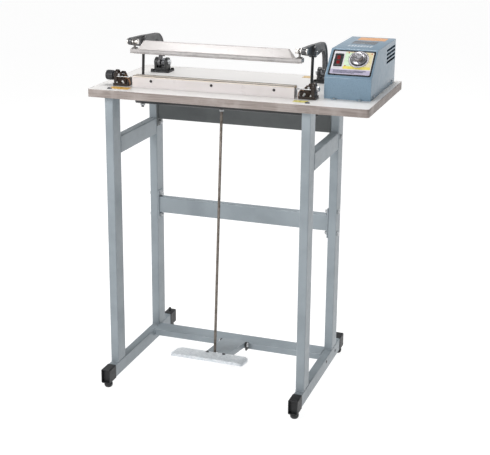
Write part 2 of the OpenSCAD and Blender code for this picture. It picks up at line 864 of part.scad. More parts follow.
module box_cover() {
    color("#8fa3b3") difference() {
        box_frame() difference() {
            along_x() linear_extrude(box_w) polygon(box_outline(0));
            translate([box_wall, 0, -1]) along_x() linear_extrude(box_w - 2 * box_wall)
                polygon(box_outline(box_wall));
            translate([box_wall, box_wall, -1]) cube([box_w - 2 * box_wall, box_d - 2 * box_wall, 3]);
            // Notches for the base's fixing tabs
            for (x = [21.7, box_w - 36.3]) translate([x, -1, -1]) cube([14.6, 4, 3]);
            // Cooling slots through both sides
            for (i = [0:vent_rows - 1]) translate([-10, 183, 70 + vent_pitch * i])
                cube([box_w + 20, 111, vent_h]);
            translate([box_w - 34, box_d - 10, 30]) along_y() cylinder(r = 8, h = 20);
            translate([34, box_d - 10, 30]) along_y() cylinder(r = 6.2, h = 20);
        }
        panel_frame() {
            translate([rocker_x - 9.5, rocker_v - 17.5, -5]) cube([19, 35, 10]);
            translate([knob_x, knob_v, -5]) cylinder(r = 5, h = 10);
        }
        at_box_screws() rod_x(2, -6, 6);
    }
}

module at_box_screws() {
    for (side = [0, 1], y = [30, box_d - 30])
        box_frame() translate([side * box_w, y, 8]) scale([2 * side - 1, 1, 1]) children();
}

module box_screws() {
    color("silver") at_box_screws() {
        rod_x(1.8, -5, 0.1);
        rod_x(3.5, 0, 2);
    }
}

module face_label() {
    color("#d8d2c0") panel_frame() translate([label_x0 + label_w / 2, label_v0 + label_len / 2, 0])
        linear_extrude(0.8) difference() {
            round_rect(label_w, label_len, 2);
            translate([rocker_x - label_x0 - label_w / 2, rocker_v - label_v0 - label_len / 2])
                square([19, 35], center = true);
            translate([knob_x - label_x0 - label_w / 2, knob_v - label_v0 - label_len / 2]) circle(5);
        }
}

module rocker_frame() { panel_frame() translate([rocker_x, rocker_v, 0.8]) children(); }

rocker_w = 15;
rocker_len = 30;
rocker_axis_z = -4;
rocker_tilt = 8.5;

module rocker_housing() {
    color("#1a1a1c") rocker_frame() difference() {
        union() {
            linear_extrude(2.5) round_rect(22, 40, 2.5);
            translate([0, 0, -20]) linear_extrude(20.5) square([18.6, 34.6], center = true);
        }
        translate([0, 0, -14]) linear_extrude(20) square([rocker_w + 0.8, rocker_len + 1.2], center = true);
        translate([0, 0, rocker_axis_z]) rod_x(1.5, -9, 9);
    }
}

// Rocker on a cross axle: its ends lie on a circle round the axle, its two faces meet in a valley
module power_rocker() {
    r = 15.2;
    tip = 27.7;
    color("crimson") rocker_frame() translate([0, 0, rocker_axis_z]) rotate([rocker_tilt, 0, 0]) {
        translate([-rocker_w / 2, 0, 0]) along_x() linear_extrude(rocker_w)
            polygon(concat(arc([0, 0], r, -8, tip, 4), [[0, 5.2]],
                arc([0, 0], r, 180 - tip, 188, 4), [[-4, -6], [4, -6]]));
        rod_x(1.5 - run_fit, -8.8, 8.8);
    }
}

module knob_frame() { panel_frame() translate([knob_x, knob_v, 0]) children(); }

module timer_knob() {
    ribs = 24;
    color("silver") knob_frame() difference() {
        union() {
            translate([0, 0, 1.3]) cylinder(r = 23, h = 2.2);
            translate([0, 0, 3.4]) cylinder(r1 = 18.5, r2 = 15.5, h = 3);
            translate([0, 0, 6.3]) cylinder(r = 13, h = 11);
        }
        translate([0, 0, -1]) cylinder(r = 3 + run_fit, h = 14);
        for (i = [0:ribs - 1]) rotate([0, 0, 360 * i / ribs]) translate([13.4, 0, 7.5])
            cylinder(r = 0.9, h = 12, $fn = 16);
    }
}

// Board under the panel with the timer control, whose shaft carries the knob
module circuit_board() {
    color("seagreen") panel_frame() {
        translate([302, 30, -30]) difference() {
            cube([62, 56, 1.6]);
            for (x = [4, 58], y = [4, 52]) translate([x, y, -1]) cylinder(r = 1.6, h = 4);
        }
        translate([knob_x, knob_v, -28.5]) cylinder(r = 8, h = 22);
        translate([knob_x, knob_v, -6.6]) cylinder(r = 4.5, h = 6);
        translate([knob_x, knob_v, -0.7]) cylinder(r = 3, h = 12);
        translate([306, 36, -28.5]) cube([12, 9, 12]);
        translate([346, 36, -28.5]) cylinder(r = 5, h = 14);
    }
}

module transformer() {
    box_frame() translate([28, 150, 2]) {
        color("#6b4b2a") cube([72, 64, 56]);
        color("peru") translate([14, -14, 6]) cube([44, 92, 44]);
    }
}

module fuse_holder() {
    color("#151515") box_frame() translate([34, box_d, 30]) along_y() difference() {
        union() {
            translate([0, 0, -30]) cylinder(r = 6, h = 30.5);
            translate([0, 0, 0]) cylinder(r = 8.5, h = 6);
            translate([0, 0, 5.9]) cylinder(r1 = 6.5, r2 = 5.5, h = 6);
        }
        translate([-6, -0.8, 10.5]) cube([12, 1.6, 4]);
    }
}

module cable_gland() {
    color("#151515") box_frame() translate([box_w - 34, box_d, 30]) along_y() difference() {
        union() {
            translate([0, 0, -10]) cylinder(r = 7.8, h = 11);
            translate([0, 0, 0]) cylinder(r = 11, h = 5, $fn = 6);
            translate([0, 0, 4.9]) cylinder(r1 = 9.5, r2 = 7, h = 8);
        }
        translate([0, 0, -11]) cylinder(r = 3.8, h = 30);
    }
}

left_front_leg();
right_front_leg();
left_rear_leg();
right_rear_leg();
side_rails();
floor_rails();
rail_end_caps();
leveling_feet();
bottom_beam();
mid_beam();
rear_apron();
frame_bolts();
leg_top_plates();
table_board();
edge_band();
table_bolts();
left_pivot_bracket();
right_pivot_bracket();
bracket_screws();
arm_pivot_pins();
arm_bushes();
return_springs();
left_arm();
right_arm();
jaw_stub_shafts();
jaw_hangers();
upper_jaw_rail();
upper_jaw_cover();
silicone_strip();
arm_rod_pins();
side_pull_rods();
tie_bar();
rod_nuts();
centre_rod();
pedal_tread();
pedal_arm();
pedal_cross_pin();
pedal_hinge_lugs();
pedal_hinge_pin();
lower_jaw_bar();
jaw_side_plates();
plate_screws();
insulating_strip();
heating_element();
ptfe_cover();
terminal_bases();
terminal_clamps();
terminal_screws();
tension_knob();
box_base();
box_cover();
face_label();
rocker_housing();
power_rocker();
timer_knob();
circuit_board();
transformer();
fuse_holder();
cable_gland();
box_screws();
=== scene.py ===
"""Looks of the foot-pedal impulse heat sealer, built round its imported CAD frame.

Everything is in metres in the CAD row frame: X to the operator's right, Y to the back, Z up.
Lengths written with * MM are millimetres.
"""
import json
import math
import random

import bmesh
import bpy
from mathutils import Matrix, Vector


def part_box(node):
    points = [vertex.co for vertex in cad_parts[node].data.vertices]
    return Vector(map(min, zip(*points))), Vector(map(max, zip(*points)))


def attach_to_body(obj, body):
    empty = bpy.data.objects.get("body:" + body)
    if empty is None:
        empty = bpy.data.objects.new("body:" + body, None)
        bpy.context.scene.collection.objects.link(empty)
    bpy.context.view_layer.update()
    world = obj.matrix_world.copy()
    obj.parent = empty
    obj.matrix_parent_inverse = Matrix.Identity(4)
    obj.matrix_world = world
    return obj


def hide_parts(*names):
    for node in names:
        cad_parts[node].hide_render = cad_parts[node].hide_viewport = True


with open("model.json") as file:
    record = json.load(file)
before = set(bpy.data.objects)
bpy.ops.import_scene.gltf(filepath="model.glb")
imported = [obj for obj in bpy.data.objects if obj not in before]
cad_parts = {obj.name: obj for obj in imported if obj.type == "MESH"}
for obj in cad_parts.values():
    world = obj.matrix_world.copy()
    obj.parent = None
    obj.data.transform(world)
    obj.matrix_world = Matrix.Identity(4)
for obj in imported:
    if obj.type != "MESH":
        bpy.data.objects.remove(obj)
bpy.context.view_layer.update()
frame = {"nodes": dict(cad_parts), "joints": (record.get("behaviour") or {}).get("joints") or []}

MM = 0.001

# ---------- materials ----------

def rgb(code):
    """Linear colour of an sRGB hex code."""
    values = [int(code[i:i + 2], 16) / 255 for i in (1, 3, 5)]
    return tuple(v / 12.92 if v <= 0.04045 else ((v + 0.055) / 1.055) ** 2.4 for v in values) + (1.0,)


class Surface:
    """A procedural material on object coordinates; sizes of its features are in metres."""

    def __init__(self, name, colour, rough, metallic=0.0, **sockets):
        self.material = bpy.data.materials.new(name)
        self.material.use_nodes = True
        self.nodes = self.material.node_tree.nodes
        self.shader = self.nodes["Principled BSDF"]
        self.coords = self.nodes.new("ShaderNodeTexCoord").outputs["Object"]
        self.colour = rgb(colour)
        self.normal = None
        self.fill(self.shader, {"Base Color": self.colour, "Roughness": rough, "Metallic": metallic})
        for socket, value in sockets.items():
            self.fill(self.shader, {socket.replace("_", " ").title().replace("Ior", "IOR"): value})

    def fill(self, node, inputs):
        """Sets each socket to its constant, or links it where the value is another node's output."""
        for socket, value in inputs.items():
            if isinstance(value, bpy.types.NodeSocket):
                self.material.node_tree.links.new(value, node.inputs[socket])
            else:
                node.inputs[socket].default_value = value

    def add(self, kind, inputs, **settings):
        """Outputs of a new shader node."""
        node = self.nodes.new("ShaderNode" + kind)
        for setting, value in settings.items():
            setattr(node, setting, value)
        self.fill(node, inputs)
        return node.outputs

    def place(self, stretch=(1, 1, 1)):
        """Object coordinates, stretched: a larger number makes features shorter that way."""
        return self.add("Mapping", {"Vector": self.coords, "Scale": stretch})["Vector"]

    def noise(self, size, detail=3.0, rough=0.55, stretch=(1, 1, 1), distortion=0.0):
        return self.add("TexNoise", {"Vector": self.place(stretch), "Scale": 1 / size, "Detail": detail,
                                     "Roughness": rough, "Distortion": distortion})["Fac"]

    def cells(self, size, feature="F1"):
        return self.add("TexVoronoi", {"Vector": self.place(), "Scale": 1 / size},
                        feature=feature)["Distance"]

    def wave(self, size, direction):
        """Bands across the direction, one for each size."""
        return self.add("TexWave", {"Vector": self.place(), "Scale": 0.314 / size},
                        bands_direction=direction)["Fac"]

    def ramp(self, factor, low, high, out_low=0.0, out_high=1.0):
        return self.add("MapRange", {"Value": factor, "From Min": low, "From Max": high,
                                     "To Min": out_low, "To Max": out_high})["Result"]

    def join(self, a, b, operation="MULTIPLY"):
        return self.add("Math", {0: a, 1: b}, operation=operation)[0]

    def edges(self, radius, low=0.995, high=0.93):
        """1 on sharp edges and 0 on flats."""
        softened = self.add("Bevel", {"Radius": radius}, samples=4)["Normal"]
        plain = self.add("NewGeometry", {})["Normal"]
        turned = self.add("VectorMath", {0: softened, 1: plain}, operation="DOT_PRODUCT")["Value"]
        return self.ramp(turned, low, high)

    def tint(self, factor, colour):
        """Mixes the colour so far with another one."""
        self.colour = self.add("Mix", {0: factor, 6: self.colour, 7: rgb(colour)}, data_type="RGBA")[2]
        self.fill(self.shader, {"Base Color": self.colour})

    def roughness(self, factor, low, high):
        self.fill(self.shader, {"Roughness": self.ramp(factor, 0.25, 0.75, low, high)})

    def bump(self, factor, depth, strength):
        below = {} if self.normal is None else {"Normal": self.normal}
        relief = {"Distance": depth, "Strength": strength, "Height": factor, **below}
        self.normal = self.add("Bump", relief)["Normal"]
        self.fill(self.shader, {"Normal": self.normal})


def powder_coat(name, colour, light, dark):
    """Semi-gloss powder coat: orange peel, slow colour drift, dust and edges rubbed lighter."""
    s = Surface(name, colour, 0.42, coat_weight=0.12, coat_roughness=0.3)
    s.tint(s.ramp(s.noise(90 * MM, 4), 0.42, 0.62), dark)
    s.tint(s.join(s.edges(1.2 * MM), s.ramp(s.noise(9 * MM, 5), 0.35, 0.65)), light)
    s.roughness(s.noise(14 * MM, 4), 0.34, 0.52)
    s.bump(s.noise(1.6 * MM, 2), 0.12 * MM, 0.5)
    return s.material


def hammered_enamel(name, colour, light, dark):
    """Hammered machine enamel: shallow round dimples with slightly darker rims."""
    s = Surface(name, colour, 0.33, coat_weight=0.25, coat_roughness=0.2)
    dimples = s.cells(2.6 * MM, "SMOOTH_F1")
    s.tint(s.ramp(dimples, 0.35, 0.75), dark)
    s.tint(s.join(s.edges(1.8 * MM), s.ramp(s.noise(12 * MM, 4), 0.3, 0.6)), light)
    s.roughness(s.noise(20 * MM, 4), 0.27, 0.42)
    s.bump(dimples, 0.22 * MM, 0.6)
    return s.material


def satin_metal(name, colour, dark, rough=(0.25, 0.45), grain=(1, 1, 1), grain_size=0.5 * MM, bump=0.05 * MM):
    """Turned, drawn or rolled metal with a fine directional grain and dull patches."""
    s = Surface(name, colour, rough[0], 1.0)
    lines = s.noise(grain_size, 3, stretch=grain)
    s.tint(s.ramp(s.noise(16 * MM, 5), 0.45, 0.7), dark)
    s.roughness(s.join(lines, s.noise(30 * MM, 3), "ADD"), rough[0], rough[1])
    s.bump(lines, bump, 0.5)
    return s.material


def plastic(name, colour, light, rough=(0.4, 0.6), grain=0.9 * MM, depth=0.08 * MM):
    """Moulded plastic with a fine texture, paler where edges are rubbed."""
    s = Surface(name, colour, rough[0], specular_ior_level=0.4)
    s.tint(s.join(s.edges(0.9 * MM), s.ramp(s.noise(6 * MM, 4), 0.35, 0.7)), light)
    s.roughness(s.noise(10 * MM, 4), rough[0], rough[1])
    s.bump(s.noise(grain, 3), depth, 0.6)
    return s.material


def laminate():
    """White table laminate with a faint stipple and handling haze."""
    s = Surface("table_laminate", "#e3e1df", 0.28, coat_weight=0.15, coat_roughness=0.15)
    s.tint(s.ramp(s.noise(160 * MM, 4), 0.5, 0.75), "#dfdcda")
    s.tint(s.ramp(s.noise(1.5 * MM, 3), 0.62, 0.8), "#dcd9d6")
    s.roughness(s.noise(45 * MM, 4), 0.3, 0.38)
    s.bump(s.noise(0.9 * MM, 2), 0.01 * MM, 0.4)
    return s.material


def edging():
    """Taupe edge band with a fine grain that runs along the board."""
    s = Surface("edge_banding", "#968c87", 0.5)
    grain = s.noise(3.2 * MM, 5, stretch=(0.04, 0.04, 1.6), distortion=0.3)
    s.tint(s.ramp(grain, 0.4, 0.62), "#7f7570")
    s.tint(s.ramp(s.noise(60 * MM, 3), 0.5, 0.7), "#a39a95")
    s.roughness(grain, 0.42, 0.6)
    s.bump(grain, 0.12 * MM, 0.5)
    return s.material


def cast_paint():
    """Dark grey painted casting: sand texture, worn bare on its ribs."""
    s = Surface("cast_arm_paint", "#4b4b4d", 0.38, coat_weight=0.2, coat_roughness=0.25)
    sand = s.noise(1.3 * MM, 4, 0.6)
    s.tint(s.ramp(s.noise(28 * MM, 4), 0.45, 0.65), "#38383a")
    s.tint(s.join(s.edges(2.4 * MM, 0.99, 0.9), s.ramp(s.noise(5 * MM, 5), 0.42, 0.62)), "#8b8785")
    s.roughness(s.noise(9 * MM, 4), 0.3, 0.5)
    s.bump(s.noise(7 * MM, 2), 0.25 * MM, 0.4)
    s.bump(sand, 0.12 * MM, 0.5)
    return s.material


def ivory_enamel(name, colour, second):
    """Stoved off-white enamel on folded sheet, a little warm, with fine scuffs."""
    s = Surface(name, colour, 0.36, coat_weight=0.3, coat_roughness=0.15)
    s.tint(s.ramp(s.noise(120 * MM, 3), 0.45, 0.7), second)
    scuffs = s.ramp(s.noise(9 * MM, 6, 0.7, stretch=(0.15, 1, 1)), 0.66, 0.72)
    s.tint(scuffs, "#c9c2bd")
    s.roughness(s.noise(40 * MM, 4), 0.24, 0.36)
    s.bump(s.noise(2.2 * MM, 2), 0.05 * MM, 0.5)
    return s.material


def woven_ptfe():
    """Glass cloth coated with PTFE: a fine plain weave, waxy, browned along the heating line."""
    s = Surface("ptfe_glass_cloth", "#ddd3c8", 0.38, coat_weight=0.2, coat_roughness=0.3)
    weave = s.join(s.wave(0.9 * MM, "X"), s.wave(0.9 * MM, "Y"), "MAXIMUM")
    s.tint(s.ramp(s.noise(26 * MM, 5, stretch=(0.4, 1, 1)), 0.42, 0.7), "#cfc1b0")
    s.tint(s.ramp(weave, 0.0, 0.5, 0.35, 0.0), "#ab9c89")
    s.roughness(s.noise(12 * MM, 4), 0.3, 0.5)
    s.bump(weave, 0.06 * MM, 0.6)
    return s.material


def embossed_plate():
    """Worn aluminium tread sheet, mottled grey and silver."""
    s = Surface("pedal_plate", "#dfe4e8", 0.4, 0.12)
    mottle = s.noise(13 * MM, 6, 0.65, distortion=1.2)
    s.tint(s.ramp(mottle, 0.42, 0.6), "#c9cfd4")
    s.tint(s.ramp(s.cells(5.5 * MM), 0.1, 0.4, 0.5, 0.0), "#f0f3f5")
    s.roughness(mottle, 0.24, 0.5)
    s.bump(s.noise(2.5 * MM, 3), 0.06 * MM, 0.4)
    return s.material


def flat_print(name, colour, second):
    """Printed ink: a faint screen texture under a clear gloss film."""
    s = Surface(name, colour, 0.3, coat_weight=0.5, coat_roughness=0.12)
    s.tint(s.ramp(s.noise(7 * MM, 4), 0.45, 0.75), second)
    s.roughness(s.noise(9 * MM, 3), 0.24, 0.36)
    s.bump(s.noise(0.6 * MM, 2), 0.02 * MM, 0.5)
    return s.material


def translucent_red():
    """Red lens that lets a little light through."""
    s = Surface("rocker_red", "#861a1e", 0.14, coat_weight=0.5, coat_roughness=0.08,
                transmission_weight=0.15, ior=1.5)
    s.tint(s.ramp(s.noise(8 * MM, 3), 0.45, 0.7), "#7a1216")
    s.roughness(s.noise(5 * MM, 3), 0.12, 0.22)
    s.bump(s.noise(1.5 * MM, 2), 0.02 * MM, 0.5)
    return s.material


def floor_paint():
    """Mid-grey floor that glows white: it looks pale and throws little lamp light back."""
    s = Surface("studio_floor", "#7c7c7c", 0.9, emission_strength=0.93, emission_color=(1, 1, 1, 1))
    s.tint(s.ramp(s.noise(2.0, 3), 0.4, 0.7), "#787878")
    s.roughness(s.noise(0.5, 3), 0.85, 0.95)
    return s.material


MATERIALS = {
    "blue_grey_paint": powder_coat("stand_powder_coat", "#8f989e", "#aeb5b9", "#868f95"),
    # Darker copy of the stand's coat: painted shade for the rear apron under the table
    "apron_paint": powder_coat("apron_painted_shade_coat", "#575b5c", "#73787a", "#4e5253"),
    # Paler copy of the box paint: painted highlight along the louvre lips
    "lip_highlight_paint": powder_coat("louvre_lip_highlight_paint", "#9fb0bc", "#c9d5dd", "#92a4b1"),
    "old_screws": satin_metal("old_screws", "#4a4748", "#2b292a", (0.3, 0.5)),
    "burnt_steel": satin_metal("burnt_steel", "#3e3632", "#1d1917", (0.28, 0.5)),
    "copper_strap": satin_metal("copper_strap", "#b48a68", "#74523a", (0.25, 0.42)),
    "knob_grip": satin_metal("knob_grip", "#8f8c92", "#5c5a60", (0.2, 0.36)),
    "black_plastic": plastic("black_plastic", "#232426", "#4a4b4d"),
    "zinc_steel": satin_metal("zinc_steel", "#c6c8ca", "#9a9c9e", (0.28, 0.5)),
    "dark_bolts": satin_metal("dark_bolt_steel", "#55565a", "#35363a", (0.28, 0.45)),
    "white_laminate": laminate(),
    "taupe_edging": edging(),
    "black_paint": powder_coat("black_enamel", "#1d1e20", "#5a5a5c", "#131415"),
    "spring_steel": satin_metal("spring_steel", "#a4a5a8", "#77787c", (0.22, 0.36)),
    "cast_arm": cast_paint(),
    "bright_steel": satin_metal("bright_steel", "#ebe8e4", "#b9b3ab", (0.14, 0.3), (1, 0.1, 0.1)),
    "bronze": satin_metal("aged_brass", "#6b5238", "#3c2e22", (0.3, 0.5)),
    "dark_steel": satin_metal("dark_steel", "#7d7a78", "#4c4a49", (0.3, 0.5)),
    "brown_steel": satin_metal("brown_rod_steel", "#857d76", "#5d5650", (0.32, 0.48), (1, 1, 0.05)),
    "aluminium_rail": satin_metal("rail_aluminium", "#b8b5b4", "#a8a5a4", (0.4, 0.55), (0.03, 1, 1)),
    # Darker copy of the ivory enamel: painted shade on the hood, whose faces catch the lamps
    "hood_shaded_enamel": ivory_enamel("hood_shaded_enamel", "#c8c3c1", "#c1bbb8"),
    "ivory_sheet": ivory_enamel("ivory_enamel", "#d9d3d2", "#d2ccca"),
    "silicone": plastic("grey_silicone", "#8d817b", "#a89d97", (0.5, 0.7)),
    "pedal_aluminium": embossed_plate(),
    "mica_board": plastic("mica_board", "#b7a080", "#cbb798", (0.5, 0.7)),
    "element_ribbon": satin_metal("element_ribbon", "#b79b73", "#7c6444", (0.3, 0.5), (0.05, 1, 1)),
    "ptfe_cloth": woven_ptfe(),
    "bakelite": plastic("brown_bakelite", "#2a211c", "#54463c", (0.3, 0.5)),
    "knob_black": plastic("black_knob", "#2a2b2e", "#55565a", (0.32, 0.5)),
    "hammered_blue": hammered_enamel("box_hammered_enamel", "#748da0", "#a6b9c6", "#6b8496"),
    "panel_film": flat_print("panel_film", "#c9cbd2", "#bcbfc8"),
    "red_lens": translucent_red(),
    "dial_metal": satin_metal("dial_metal", "#bfbec2", "#8b8a90", (0.16, 0.34)),
    "board_green": plastic("solder_resist", "#1f6a3c", "#3d8858", (0.3, 0.5)),
    "transformer_iron": plastic("varnished_iron", "#4a3526", "#6e5644", (0.35, 0.55)),
}
INKS = {name: flat_print("ink_" + name, *colours) for name, colours in {
    "amber_field": ("#f0bd55", "#e5ad45"),
    "yellow_field": ("#e9e07c", "#dfd468"),
    "tan_field": ("#dcb978", "#cfab66"),
    "mint": ("#cfe3c6", "#c2d8b8"),
    "haze": ("#c9d4de", "#b8c6d2"),
    "red": ("#b8473c", "#a63b32"),
    "black": ("#191a1c", "#222326"),
    "cream": ("#dbd0ab", "#d3c79c"),
    "white": ("#dcd9de", "#d3d0d6"),
    "lavender": ("#b5afc4", "#a9a3ba"),
    "yellow": ("#e0d36a", "#d6c656"),
    "amber": ("#e8ad3d", "#dc9d30"),
    "orange": ("#e39a4c", "#d88c3e"),
    "tan": ("#cda55e", "#c0964e"),
    "slate": ("#2f3a48", "#273240"),
    "grey": ("#8d9096", "#7f8289"),
}.items()}


# ---------- mesh helpers, all in millimetres ----------

HERE = Matrix.Identity(4)
# Local X, Y, Z become the row frame's Y, Z, X
ALONG_X = Matrix(((0, 0, 1, 0), (1, 0, 0, 0), (0, 1, 0, 0), (0, 0, 0, 1)))


def at(x=0.0, y=0.0, z=0.0):
    return Matrix.Translation((x, y, z))


def turned(degrees, axis):
    return Matrix.Rotation(math.radians(degrees), 4, axis)


def add_prism(bm, outline, low, high, place=HERE, slot=0):
    """Extrudes a 2-D outline along local Z from low to high; place maps local points to the row frame."""
    rings = [[bm.verts.new(place @ Vector((x, y, z))) for x, y in outline] for z in (low, high)]
    faces = [bm.faces.new(list(reversed(rings[0]))), bm.faces.new(rings[1])]
    count = len(outline)
    for i in range(count):
        j = (i + 1) % count
        faces.append(bm.faces.new((rings[0][i], rings[0][j], rings[1][j], rings[1][i])))
    for face in faces:
        face.material_index = slot
    return faces


def add_box(bm, low, high, place=HERE, slot=0):
    (x0, y0, z0), (x1, y1, z1) = low, high
    add_prism(bm, [(x0, y0), (x1, y0), (x1, y1), (x0, y1)], z0, z1, place, slot)


def add_lathe(bm, profile, place=HERE, steps=48, slot=0, ripple=None, closed=False):
    """Turns a profile of (radius, height) points about local Z; ripple(angle, radius) may change a radius.

    A closed profile joins its last point to its first, which leaves a ring with an open bore.
    """
    rings = []
    for radius, height in profile:
        if radius < 1e-6:
            rings.append([bm.verts.new(place @ Vector((0, 0, height)))])
            continue
        ring = []
        for i in range(steps):
            a = math.tau * i / steps
            r = ripple(a, radius) if ripple else radius
            ring.append(bm.verts.new(place @ Vector((r * math.cos(a), r * math.sin(a), height))))
        rings.append(ring)
    if closed:
        rings.append(rings[0])
    for lower, upper in zip(rings, rings[1:]):
        for i in range(steps):
            j = (i + 1) % steps
            quad = [lower[i % len(lower)], lower[j % len(lower)],
                    upper[j % len(upper)], upper[i % len(upper)]]
            corners = list(dict.fromkeys(quad))
            if len(corners) > 2:
                bm.faces.new(corners).material_index = slot
    if closed:
        return
    for ring, flip in ((rings[0], True), (rings[-1], False)):
        if len(ring) > 1:
            bm.faces.new(list(reversed(ring)) if flip else ring).material_index = slot


def add_rod(bm, radius, low, high, place=HERE, chamfer=0.5, steps=40, slot=0):
    """Round bar along local Z with chamfered ends."""
    c = min(chamfer, radius / 2, (high - low) / 2.1)
    add_lathe(bm, [(0, low), (radius - c, low), (radius, low + c), (radius, high - c), (radius - c, high),
                   (0, high)], place, steps, slot)


def add_hex(bm, radius, low, high, place=HERE, slot=0):
    """Hexagon head whose outer face is chamfered round."""
    add_lathe(bm, [(0, low), (radius, low), (radius, high - 0.12 * radius), (0.86 * radius, high), (0, high)],
              place, 6, slot)


def add_washer(bm, radius, thickness, place=HERE, slot=0):
    add_rod(bm, radius, 0, thickness, place, 0.25, 32, slot)


def join_rings(bm, rings):
    """Walls between rings of as many points each, and a cap on the first and the last."""
    count = len(rings[0])
    for lower, upper in zip(rings, rings[1:]):
        for i in range(count):
            j = (i + 1) % count
            bm.faces.new((lower[i], lower[j], upper[j], upper[i]))
    bm.faces.new(list(reversed(rings[0])))
    bm.faces.new(rings[-1])


def add_sweep(bm, path, radius, sides):
    """Round wire along a list of points, capped at both ends."""
    points = [Vector(p) for p in path]
    normal = Vector((0.31, 0.43, 0.85))
    rings = []
    for i, point in enumerate(points):
        along = (points[min(i + 1, len(points) - 1)] - points[max(i - 1, 0)]).normalized()
        normal = (normal - along * normal.dot(along)).normalized()
        side = along.cross(normal)
        rings.append([bm.verts.new(point + radius * (normal * math.cos(a) + side * math.sin(a)))
                      for a in (math.tau * k / sides for k in range(sides))])
    join_rings(bm, rings)


def arc(centre, radius, start, end, steps=8):
    """Points on a circle, angles in degrees."""
    return [(centre[0] + radius * math.cos(math.radians(start + (end - start) * i / steps)),
             centre[1] + radius * math.sin(math.radians(start + (end - start) * i / steps)))
            for i in range(steps + 1)]


def round_rect(width, height, radius, centre=(0, 0), steps=6):
    """Outline of a rectangle with round corners."""
    x, y = width / 2 - radius, height / 2 - radius
    cx, cy = centre
    return (arc((cx + x, cy + y), radius, 0, 90, steps) + arc((cx - x, cy + y), radius, 90, 180, steps)
            + arc((cx - x, cy - y), radius, 180, 270, steps) + arc((cx + x, cy - y), radius, 270, 360, steps))


def rounded(corners, radius, steps=5):
    """Outline through the corners with every corner rounded; radius is one number or one per corner."""
    result = []
    count = len(corners)
    for i, corner in enumerate(corners):
        r = radius[i] if isinstance(radius, (list, tuple)) else radius
        here = Vector(corner)
        back = (Vector(corners[i - 1]) - here).normalized()
        ahead = (Vector(corners[(i + 1) % count]) - here).normalized()
        half = math.acos(max(-1, min(1, back.dot(ahead)))) / 2
        if r < 1e-6:
            result.append((here.x, here.y))
            continue
        reach = r / math.tan(half)
        for k in range(steps + 1):
            t = k / steps
            p = here + back * reach * (1 - t) ** 2 + ahead * reach * t ** 2
            result.append((p.x, p.y))
    return result


def bevel_edges(bm, width, segments=3, angle=30, keep=None):
    """Rounds every edge sharper than the angle."""
    bmesh.ops.remove_doubles(bm, verts=bm.verts, dist=1e-4)
    bmesh.ops.recalc_face_normals(bm, faces=bm.faces)
    sharp = [e for e in bm.edges if len(e.link_faces) == 2 and e.calc_face_angle(0) > math.radians(angle)
             and (keep is None or keep(e))]
    if sharp:
        bmesh.ops.bevel(bm, geom=sharp, offset=width, segments=segments, affect="EDGES", profile=0.5,
                        clamp_overlap=True)


def finish_mesh(obj):
    """Applies the object's modifiers."""
    graph = bpy.context.evaluated_depsgraph_get()
    mesh = bpy.data.meshes.new_from_object(obj.evaluated_get(graph), preserve_all_data_layers=True,
                                           depsgraph=graph)
    obj.modifiers.clear()
    obj.data = mesh


def smooth(obj, angle=32):
    obj.data.shade_smooth()
    obj.data.set_sharp_from_angle(angle=math.radians(angle))
    return obj


def new_object(name, bm, materials, angle=32):
    """Turns a bmesh drawn in millimetres into an object in metres."""
    mesh = bpy.data.meshes.new(name)
    bmesh.ops.recalc_face_normals(bm, faces=bm.faces)
    bm.transform(Matrix.Scale(MM, 4))
    bm.to_mesh(mesh)
    bm.free()
    obj = bpy.data.objects.new(name, mesh)
    bpy.context.scene.collection.objects.link(obj)
    for item in materials if isinstance(materials, (list, tuple)) else [materials]:
        mesh.materials.append(item)
    return smooth(obj, angle)


def attach(obj, body, replaces=()):
    """Makes obj a piece that rides on a CAD body and may stand for CAD nodes."""
    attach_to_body(obj, body)
    if replaces:
        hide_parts(*replaces)


def piece(name, bm, slot, body, replaces=(), materials=None, angle=32):
    attach(new_object(name, bm, materials or MATERIALS[slot], angle), body, replaces)


def melt(obj, voxel, rounds, keep):
    """Melts overlapping shells into one relaxed skin and keeps that share of its faces."""
    remesh = obj.modifiers.new("melt", "REMESH")
    remesh.mode = "VOXEL"
    remesh.voxel_size = voxel * MM
    relax = obj.modifiers.new("relax", "SMOOTH")
    relax.factor = 0.5
    relax.iterations = rounds
    obj.modifiers.new("thin", "DECIMATE").ratio = keep
    finish_mesh(obj)
    smooth(obj, 70)


def cutter(draw):
    """Object made by draw(bm) to be taken out of another one."""
    bm = bmesh.new()
    draw(bm)
    return new_object("cutter", bm, MATERIALS["zinc_steel"])


def cut(obj, cutters, angle=32, layered=False):
    """Takes the cutters' shapes out of obj, whose own shells cross one another if it's layered."""
    for tool in cutters:
        change = obj.modifiers.new("cut", "BOOLEAN")
        change.operation = "DIFFERENCE"
        change.solver = "EXACT"
        change.use_self = layered
        change.object = tool
        if layered:
            obj.modifiers.new("weld", "WELD").merge_threshold = 0.001 * MM
        finish_mesh(obj)
        bpy.data.objects.remove(tool)
    smooth(obj, angle)


def dress(nodes, slot, bevel=0.0, material=None, segments=2):
    """Gives CAD nodes their material and, where asked, softens their edges with a modifier (mm)."""
    for name in nodes:
        obj = frame["nodes"][name]
        obj.data.materials.clear()
        obj.data.materials.append(MATERIALS[material or slot])
        if bevel:
            obj.modifiers.new("weld", "WELD").merge_threshold = 0.01 * MM
            soften = obj.modifiers.new("soften", "BEVEL")
            soften.width = bevel * MM
            soften.segments = segments
            soften.limit_method = "ANGLE"
            soften.angle_limit = math.radians(40)
            soften.harden_normals = True


# ---------- main places in millimetres, read from the frame ----------

class Box:
    """A CAD node's box at rest."""

    def __init__(self, node):
        low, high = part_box(node)
        self.x0, self.y0, self.z0 = low / MM
        self.x1, self.y1, self.z1 = high / MM
        self.x, self.y, self.z = (low + high) / 2 / MM


JOINTS = {joint["name"]: joint for joint in frame["joints"]}


def joint_place(name):
    return Vector(JOINTS[name]["pos_m"]) / MM


